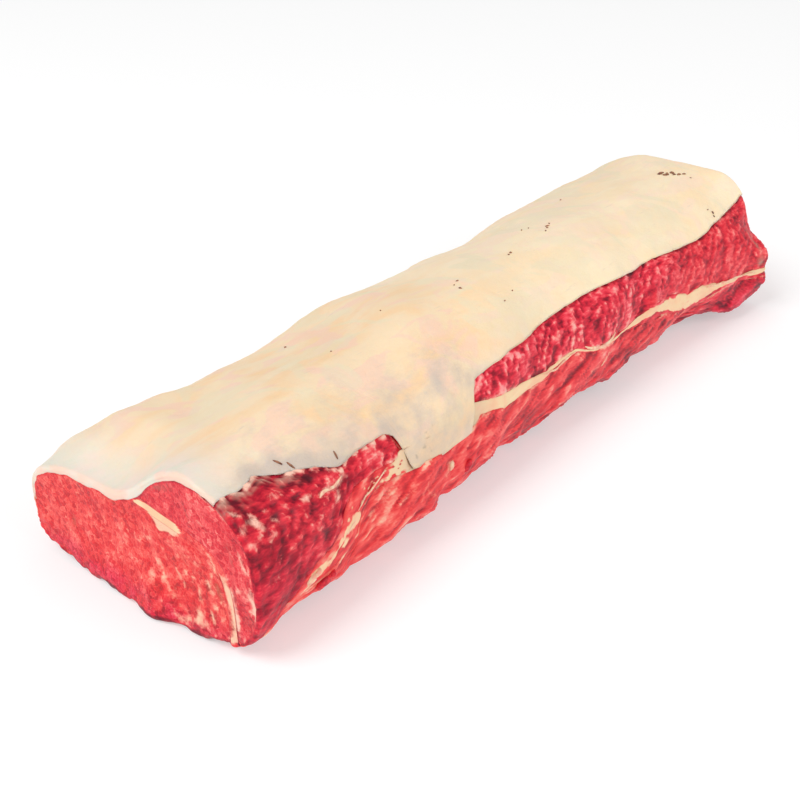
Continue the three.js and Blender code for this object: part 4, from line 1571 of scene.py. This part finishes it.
class Groups:
    """The shader node groups that several finishes share, each built once."""

    @staticmethod
    def start(name: str, numbers: dict[str, float], outputs: Sequence[str]) -> tuple[Tree, list, list]:
        """Starts a group that takes a place and numbers, and puts out numbers.

        Args:
            name: The group's name.
            numbers: The default of each number that it takes, by name.
            outputs: The names of what it puts out.

        Returns:
            The tree, what comes in (the place first) and where the outputs go.
        """
        group = bpy.data.node_groups.new(name, "ShaderNodeTree")
        group.interface.new_socket("Place", in_out="INPUT", socket_type="NodeSocketVector")
        for key, value in numbers.items():
            socket = group.interface.new_socket(key, in_out="INPUT", socket_type="NodeSocketFloat")
            socket.default_value = value
        for key in outputs:
            group.interface.new_socket(key, in_out="OUTPUT", socket_type="NodeSocketFloat")
        tree = Tree(group)
        into, out = tree.add("NodeGroupInput"), tree.add("NodeGroupOutput")
        names = ("Place", *numbers)
        return tree, [into.outputs[key] for key in names], [out.inputs[key] for key in outputs]

    @classmethod
    def fibre(cls) -> bpy.types.NodeTree:
        """Fine muscle fibre: stretched noise over a coarser one, as a tone and a height."""
        tree, (place, scale), (tone, height) = cls.start("Fibre", {"Scale": 300.0}, ("Tone", "Height"))
        fine = tree.noise(place, scale, 4.0, Roughness=0.6, Distortion=0.4)
        coarse = tree.noise(place, tree.times(scale, 0.3), 2.0, Roughness=0.5, Distortion=0.6)
        tree.put(tone, tree.plus(tree.times(fine, 0.6), coarse, 0.4))
        tree.put(height, tree.plus(tree.times(fine, 0.4), coarse))
        return tree.tree

    @classmethod
    def veins(cls) -> bpy.types.NodeTree:
        """Thin wandering lines: where a warped noise passes through its middle value."""
        numbers = {"Scale": 90.0, "Width": 0.04}
        tree, (place, scale, width), (mask,) = cls.start("Veins", numbers, ("Mask",))
        rough = tree.noise(place, scale, 3.0, Roughness=0.55, Distortion=1.2)
        share = tree.math("DIVIDE", tree.math("ABSOLUTE", tree.centred(rough)), width)
        tree.put(mask, tree.math("SUBTRACT", 1.0, share, clamp=True))
        return tree.tree

    @classmethod
    def bundles(cls) -> bpy.types.NodeTree:
        """Muscle bundles cut across: warped cells, each of its own tone, with thin paler borders."""
        tree, (place, scale), (tone, height) = cls.start("Bundles", {"Scale": 430.0}, ("Tone", "Height"))
        bend = tree.add("ShaderNodeTexNoise", {"Vector": place, "Scale": 260.0, "Detail": 2.0})
        bent = {0: bend.outputs["Color"], 3: 0.004}
        shift = tree.add("ShaderNodeVectorMath", bent, operation="SCALE").outputs[0]
        moved = tree.add("ShaderNodeVectorMath", {0: place, 1: shift}, operation="ADD").outputs[0]
        cell = {"Vector": moved, "Scale": scale}
        cells = tree.add("ShaderNodeTexVoronoi", cell, feature="F1")
        border = tree.add("ShaderNodeTexVoronoi", cell, feature="DISTANCE_TO_EDGE")
        wall = tree.math("SUBTRACT", 1.0, tree.span(border.outputs["Distance"], 0.0, 0.16))
        shade = tree.add("ShaderNodeSeparateColor", {0: cells.outputs["Color"]}).outputs[0]
        grain = tree.noise(place, 900.0, 3.0)
        own = tree.plus(tree.times(tree.centred(shade), 0.3), tree.centred(grain), 0.35)
        tree.put(tone, tree.plus(own, wall, 0.09))
        tree.put(height, tree.plus(tree.times(wall, -0.35), grain))
        return tree.tree

    @classmethod
    def mottle(cls) -> bpy.types.NodeTree:
        """Soft patches with a finer break-up at their borders."""
        tree, (place, scale), (patch, fine) = cls.start("Mottle", {"Scale": 25.0}, ("Patch", "Fine"))
        broad = tree.noise(place, scale, 3.0, Roughness=0.5, Distortion=0.8)
        tree.put(patch, tree.span(broad, 0.35, 0.65))
        tree.put(fine, tree.noise(place, tree.times(scale, 9.0), 4.0, Roughness=0.65))
        return tree.tree


@dataclass(frozen=True)
class Wetness:
    """How a surface shines and lets light in, the same all over it."""

    roughness: float
    coat: float
    coat_roughness: float
    subsurface: float
    radius: Colour
    specular: float = 0.3
    scale: float = 0.003


class Finisher:
    """Makes the materials of the loin."""

    def __init__(self) -> None:
        """Builds the shared groups."""
        names = ("fibre", "bundles", "veins", "mottle")
        self.groups = {name: getattr(Groups, name)() for name in names}

    def start(self, name: str, wet: Wetness) -> tuple[bpy.types.Material, Tree, bpy.types.Node]:
        """Starts a material with a Principled shader.

        Args:
            name: The material's name.
            wet: Its shine.

        Returns:
            The material, its tree and the shader.
        """
        material = bpy.data.materials.new(name)
        material.use_nodes = True
        material.node_tree.nodes.clear()
        tree = Tree(material.node_tree)
        shader = tree.add("ShaderNodeBsdfPrincipled", {
            "Roughness": wet.roughness, "Specular IOR Level": wet.specular,
            "Coat Weight": wet.coat, "Coat Roughness": wet.coat_roughness,
            "Subsurface Weight": wet.subsurface, "Subsurface Radius": wet.radius,
            "Subsurface Scale": wet.scale,
        })
        output = tree.add("ShaderNodeOutputMaterial", {"Surface": shader.outputs[0]})
        output.is_active_output = True
        return material, tree, shader

    def group(self, tree: Tree, name: str, **inputs: object) -> bpy.types.Node:
        """Places a shared group in a material."""
        node = tree.add("ShaderNodeGroup", node_tree=self.groups[name])
        for key, value in inputs.items():
            tree.put(node.inputs[key], value)
        return node

@dataclass(frozen=True)
class LeanColours:
    """The colours of raw lean: ramps of reds and roses by tone, a dark colour for dried marks, dark gaps,
    the darker foot and a painted shadow under the cap's edge, and pale tissue.
    """

    reds: tuple
    roses: tuple
    # dark for dried marks and gaps, and for the painted shadow under the cap's edge
    dried: Colour
    tissue: Colour
    drab: Colour
    grain_turn: tuple = (0.0, 0.2, 0.0)
    grain_stretch: tuple = (0.28, 1.0, 1.0)
    grain_strength: float = 1.1

    def mixed(self, finisher: Finisher, tree: Tree) -> tuple[Socket, Socket]:
        """Mixes the lean from its paint and its grain.

        Args:
            finisher: Holds the shared groups.
            tree: The material's tree.

        Returns:
            The colour and the height.
        """
        on_cut = tree.paint("on_cut")
        grain = tree.place(self.grain_stretch, self.grain_turn)
        fibre = finisher.group(tree, "fibre", Place=grain, Scale=420.0).outputs
        across = tree.place((0.2, 1.0, 1.0))
        bundle = finisher.group(tree, "bundles", Place=across, Scale=430.0).outputs
        veins = finisher.group(tree, "veins", Place=tree.place(), Scale=150.0, Width=0.035).outputs
        side_spread = tree.times(tree.centred(fibre["Tone"]), self.grain_strength)
        spread = tree.blend(on_cut, side_spread, bundle["Tone"])
        tone = tree.plus(tree.paint("tone"), spread)
        colour = tree.mix(tree.paint("rose"), tree.ramp(tone, self.reds), tree.ramp(tone, self.roses))
        drab = tree.plus(tree.paint("drab"), spread, -0.3)
        colour = tree.mix(tree.span(drab, 0.05, 1.1), colour, self.drab)
        dark = tree.plus(tree.paint("dark"), spread, -0.5)
        # the dark paint: dried marks, gaps, the darker foot and the painted shadow under the cap's edge
        colour = tree.mix(tree.span(dark, 0.08, 1.0), colour, self.dried)
        pale = tree.plus(tree.plus(tree.paint("pale"), veins["Mask"], 0.16), spread, 0.6)
        colour = tree.mix(tree.span(pale, 0.12, 0.95), colour, self.tissue)
        return colour, tree.blend(on_cut, fibre["Height"], bundle["Height"])


@dataclass(frozen=True)
class Finish:
    """A material with a name and a shine. Each kind of finish works out its colour and height."""

    name: str
    wet: Wetness
    bump: ClassVar[tuple] = (0.3, 0.0012)

    def surface(self, finisher: Finisher, tree: Tree) -> tuple[Socket, Socket]:
        """The colour and the height."""
        raise NotImplementedError

    def make(self, finisher: Finisher) -> bpy.types.Material:
        """Builds the material.

        Args:
            finisher: Holds the shared groups.

        Returns:
            The material.
        """
        material, tree, shader = finisher.start(self.name, self.wet)
        colour, height = self.surface(finisher, tree)
        tree.put(shader.inputs["Base Color"], colour)
        strength, distance = self.bump
        inputs = {"Height": height, "Strength": strength, "Distance": distance}
        tree.put(shader.inputs["Normal"], tree.add("ShaderNodeBump", inputs).outputs[0])
        return material


@dataclass(frozen=True)
class LeanFinish(Finish):
    """Raw lean meat."""

    colours: LeanColours
    bump: ClassVar[tuple] = (0.4, 0.0012)

    def surface(self, finisher: Finisher, tree: Tree) -> tuple[Socket, Socket]:
        """The lean's own colour and height."""
        return self.colours.mixed(finisher, tree)


@dataclass(frozen=True)
class CapFinish(Finish):
    """The cap's fat: cream with warm and pink patches, grey where it is thin."""

    cream: Colour
    warm: Colour
    blush: Colour
    cool: Colour
    chill: Colour
    mint: Colour
    thin: Colour
    smudge: Colour
    # the paler colour of the painted light on the far half
    clear: Colour
    bump: ClassVar[tuple] = (0.22, 0.0014)

    def patches(self, finisher: Finisher, tree: Tree, scale: float, stretch: tuple, turn: tuple) -> Outputs:
        """A set of soft patches that lies its own way."""
        place = tree.place(stretch, turn)
        return finisher.group(tree, "mottle", Place=place, Scale=scale).outputs

    def surface(self, finisher: Finisher, tree: Tree) -> tuple[Socket, Socket]:
        """Patches of the main tones, then the painted places, among them a painted light on the far half,
        then thin fat, smudges and streaks.
        """
        patch = self.patches(finisher, tree, 17.0, (1.0, 2.2, 1.6), (0.0, 0.0, 0.9))
        other = self.patches(finisher, tree, 29.0, (1.3, 1.9, 1.0), (0.3, 0.4, 1.4))
        third = self.patches(finisher, tree, 22.0, (1.6, 1.0, 1.3), (0.9, 0.2, 0.5))
        fine = tree.centred(patch["Fine"])
        streak = tree.noise(tree.place((0.25, 1.6, 1.0), (0.0, 0.0, 0.9)), 260.0, 3.0, Roughness=0.6)
        chilled = tree.mix(other["Patch"], self.chill, self.mint)
        colour = tree.mix(patch["Patch"], self.cream, self.warm)
        for share, over in (
            (tree.times(tree.span(other["Patch"], 0.55, 1.0), 0.6), self.blush),
            # painted light: the far half made paler where the key lamp's light falls off
            (tree.paint("clear"), self.clear),
            (tree.times(tree.span(third["Patch"], 0.6, 1.0), 0.45), self.cool),
            (tree.paint("chill"), chilled),
            (tree.paint("rim"), self.blush),
            (tree.span(tree.plus(tree.paint("thin"), fine, 0.5), 0.15, 1.0), self.thin),
            (tree.span(tree.plus(tree.paint("smudge"), fine, 0.6), 0.3, 1.1), self.smudge),
            (tree.times(tree.span(streak, 0.62, 0.8), 0.3), self.thin),
        ):
            colour = tree.mix(share, colour, over)
        return colour, tree.plus(tree.times(patch["Fine"], 0.5), other["Fine"])


@dataclass(frozen=True)
class PlainFinish(Finish):
    """A finish of two tones in fine patches, for the small pieces."""

    light: Colour
    deep: Colour
    bump: ClassVar[tuple] = (0.3, 0.0008)

    def surface(self, finisher: Finisher, tree: Tree) -> tuple[Socket, Socket]:
        """Two tones by a fine noise, which is the height as well."""
        grain = tree.noise(tree.place(), 420.0, 3.0)
        return tree.mix(tree.span(grain, 0.35, 0.7), self.light, self.deep), grain


@dataclass(frozen=True)
class SeamFinish(Finish):
    """The seam's fat, with the flesh that shows between its strands."""

    cream: Colour
    strand: Colour
    grey: Colour
    flesh: LeanColours

    def surface(self, finisher: Finisher, tree: Tree) -> tuple[Socket, Socket]:
        """Flesh, and fat over it where it is painted, broken up along its fibre."""
        flesh, height = self.flesh.mixed(finisher, tree)
        place = tree.place((0.35, 1.0, 1.0), (0.0, 0.5, 0.0))
        fibre = finisher.group(tree, "fibre", Place=place, Scale=300.0).outputs
        patch = finisher.group(tree, "mottle", Place=tree.place(), Scale=60.0).outputs
        fat = tree.mix(patch["Patch"], self.cream, self.strand)
        fat = tree.mix(tree.times(tree.paint("grey"), 0.8, clamp=True), fat, self.grey)
        share = tree.span(tree.plus(tree.paint("fat"), tree.centred(fibre["Tone"]), 0.9), 0.28, 0.72)
        return tree.mix(share, flesh, fat), height


FLESH_GLOW: Colour = (1.0, 0.25, 0.18)
FAT_GLOW: Colour = (1.0, 0.7, 0.45)

LEAN_SHINE = Wetness(0.42, 0.08, 0.2, 0.12, FLESH_GLOW, 0.18)

ROSES = (
    (0.05, srgb(96, 6, 34)), (0.3, srgb(170, 14, 46)), (0.55, srgb(222, 30, 62)),
    (0.75, srgb(242, 66, 92)), (0.97, srgb(252, 140, 150)),
)
EYE_FINISH = LeanFinish(
    name="eye_lean_raw",
    colours=LeanColours(
        reds=(
            (0.05, srgb(120, 12, 26)), (0.3, srgb(194, 32, 40)), (0.55, srgb(234, 52, 54)),
            (0.75, srgb(247, 92, 82)), (0.97, srgb(252, 160, 138)),
        ),
        roses=ROSES,
        dried=srgb(104, 12, 36),
        tissue=srgb(250, 200, 168),
        drab=srgb(176, 96, 70),
    ),
    wet=LEAN_SHINE,
)
SIDE_FINISH = LeanFinish(
    name="side_lean_raw",
    colours=LeanColours(
        reds=(
            (0.05, srgb(104, 8, 26)), (0.3, srgb(178, 22, 42)), (0.55, srgb(226, 46, 58)),
            (0.75, srgb(244, 88, 88)), (0.97, srgb(252, 164, 150)),
        ),
        roses=ROSES,
        dried=srgb(84, 8, 24),
        tissue=srgb(250, 200, 178),
        drab=srgb(172, 132, 116),
        grain_turn=(0.0, 1.0, 0.0),
        grain_stretch=(0.4, 1.0, 1.0),
        grain_strength=1.5,
    ),
    wet=LEAN_SHINE,
)
SEAM_FINISH = SeamFinish(
    name="seam_fat_raw",
    cream=srgb(247, 214, 170),
    strand=srgb(246, 196, 156),
    grey=srgb(206, 188, 164),
    flesh=EYE_FINISH.colours,
    wet=Wetness(0.45, 0.1, 0.3, 0.15, FLESH_GLOW, 0.2),
)
CAP_FINISH = CapFinish(
    name="cap_fat_raw",
    cream=srgb(246, 220, 184),
    warm=srgb(248, 210, 164),
    blush=srgb(248, 206, 186),
    cool=srgb(232, 222, 190),
    chill=srgb(238, 222, 212),
    mint=srgb(222, 224, 208),
    thin=srgb(206, 190, 176),
    smudge=srgb(128, 116, 94),
    # painted light: the paler colour laid over the far half of the cap
    clear=srgb(255, 239, 208),
    wet=Wetness(0.55, 0.05, 0.4, 0.25, FAT_GLOW, 0.25),
)
SPECK_FINISH = PlainFinish(
    name="speck_dried",
    wet=Wetness(0.6, 0.0, 0.4, 0.1, FLESH_GLOW, 0.2),
    light=srgb(164, 116, 88),
    deep=srgb(104, 66, 54),
)
STRAND_FINISH = PlainFinish(
    name="strand_fat_raw",
    wet=Wetness(0.45, 0.15, 0.3, 0.25, FAT_GLOW, 0.25),
    light=srgb(250, 214, 178),
    deep=srgb(244, 168, 144),
)
SCRAP_FINISH = PlainFinish(
    name="scrap_lean_raw",
    wet=Wetness(0.4, 0.12, 0.2, 0.15, FLESH_GLOW, 0.2),
    light=srgb(238, 52, 64),
    deep=srgb(180, 20, 44),
)


# ---------------------------------------------------------------- studio and camera


@dataclass(frozen=True)
class Lamp:
    """A large soft area light that looks at a point."""

    name: str
    place: tuple
    aim: tuple
    size: float
    watts: float
    tint: Colour = (1.0, 1.0, 1.0)

    def build(self) -> None:
        """Adds the light."""
        light = bpy.data.lights.new(self.name, "AREA")
        light.shape = "DISK"
        light.size = self.size
        light.energy = self.watts
        light.color = self.tint
        lamp = bpy.data.objects.new(self.name, light)
        lamp.location = self.place
        towards = Vector(self.aim) - Vector(self.place)
        lamp.rotation_euler = towards.to_track_quat("-Z", "Y").to_euler()
        bpy.context.scene.collection.objects.link(lamp)


@dataclass(frozen=True)
class Studio:
    """A pale floor, a white room, soft lights and the camera."""

    floor_half: float = 8.0
    floor_drop: float = 0.0005
    floor_colour: Colour = (0.62, 0.62, 0.62)
    floor_glow: float = 0.42
    world_strength: float = 0.5
    lamps: tuple = (
        Lamp("key", (-2.4, 0.4, 3.1), (0.0, 0.0, 0.05), 2.2, 86.0),
        Lamp("fill", (0.5, -3.2, 2.0), (0.0, 0.0, 0.05), 2.5, 40.0),
    )
    camera_place: tuple = (-0.5586, -0.4289, 0.3931)
    forward: tuple = (0.6942, 0.5522, -0.4617)
    up: tuple = (0.3614, 0.2875, 0.8870)
    lens: float = 58.95
    sensor: float = 36.0
    shift: tuple = (-0.0534, -0.0464)

    def build(self) -> None:
        """Builds the studio."""
        self.floor()
        self.world()
        for lamp in self.lamps:
            lamp.build()
        self.camera()
        scene = bpy.context.scene
        scene.view_settings.view_transform = "Standard"
        scene.view_settings.look = "None"

    def floor(self) -> None:
        """A plain pale sheet under everything."""
        half, low = self.floor_half, -self.floor_drop
        corners = [(x * half, y * half, low) for x, y in ((-1, -1), (1, -1), (1, 1), (-1, 1))]
        mesh = bpy.data.meshes.new("floor")
        mesh.from_pydata(corners, [], [(0, 1, 2, 3)])
        material = bpy.data.materials.new("floor_plain")
        material.use_nodes = True
        shader = material.node_tree.nodes["Principled BSDF"]
        for key, value in (
            ("Base Color", (*self.floor_colour, 1.0)), ("Roughness", 0.9), ("Specular IOR Level", 0.1),
            ("Emission Color", (1.0, 1.0, 1.0, 1.0)), ("Emission Strength", self.floor_glow),
        ):
            shader.inputs[key].default_value = value
        mesh.materials.append(material)
        sheet = bpy.data.objects.new("floor", mesh)
        bpy.context.scene.collection.objects.link(sheet)

    def world(self) -> None:
        """White light from all round."""
        world = bpy.data.worlds.new("studio")
        world.use_nodes = True
        background = world.node_tree.nodes["Background"]
        background.inputs["Color"].default_value = (1.0, 1.0, 1.0, 1.0)
        background.inputs["Strength"].default_value = self.world_strength
        bpy.context.scene.world = world

    def camera(self) -> None:
        """The photograph's own view: a matrix from its forward and up directions."""
        data = bpy.data.cameras.new("photograph")
        data.sensor_width = self.sensor
        data.lens = self.lens
        data.shift_x, data.shift_y = self.shift
        data.clip_start = 0.01
        forward, up = Vector(self.forward).normalized(), Vector(self.up).normalized()
        right = forward.cross(up).normalized()
        up = right.cross(forward)
        turn = Matrix((right, up, -forward)).transposed().to_4x4()
        camera = bpy.data.objects.new("photograph", data)
        camera.matrix_world = Matrix.Translation(self.camera_place) @ turn
        bpy.context.scene.collection.objects.link(camera)
        bpy.context.scene.camera = camera


def main() -> None:
    """Builds the loin and the studio."""
    logging.basicConfig(level=logging.INFO, format="%(name)s: %(message)s")
    finisher = Finisher()
    eye, side, seam, cap = (f.make(finisher) for f in (EYE_FINISH, SIDE_FINISH, SEAM_FINISH, CAP_FINISH))
    EyeMuscle().build(eye)
    SideMuscle().build(side)
    SeamFat().build(seam)
    dressed = FatCap().build(cap)
    skin = np.empty(len(dressed.data.vertices) * 3)
    dressed.data.vertices.foreach_get("co", skin)
    build_small_pieces(finisher, skin.reshape(-1, 3) / MM)
    Studio().build()


if __name__ == "__main__":
    main()
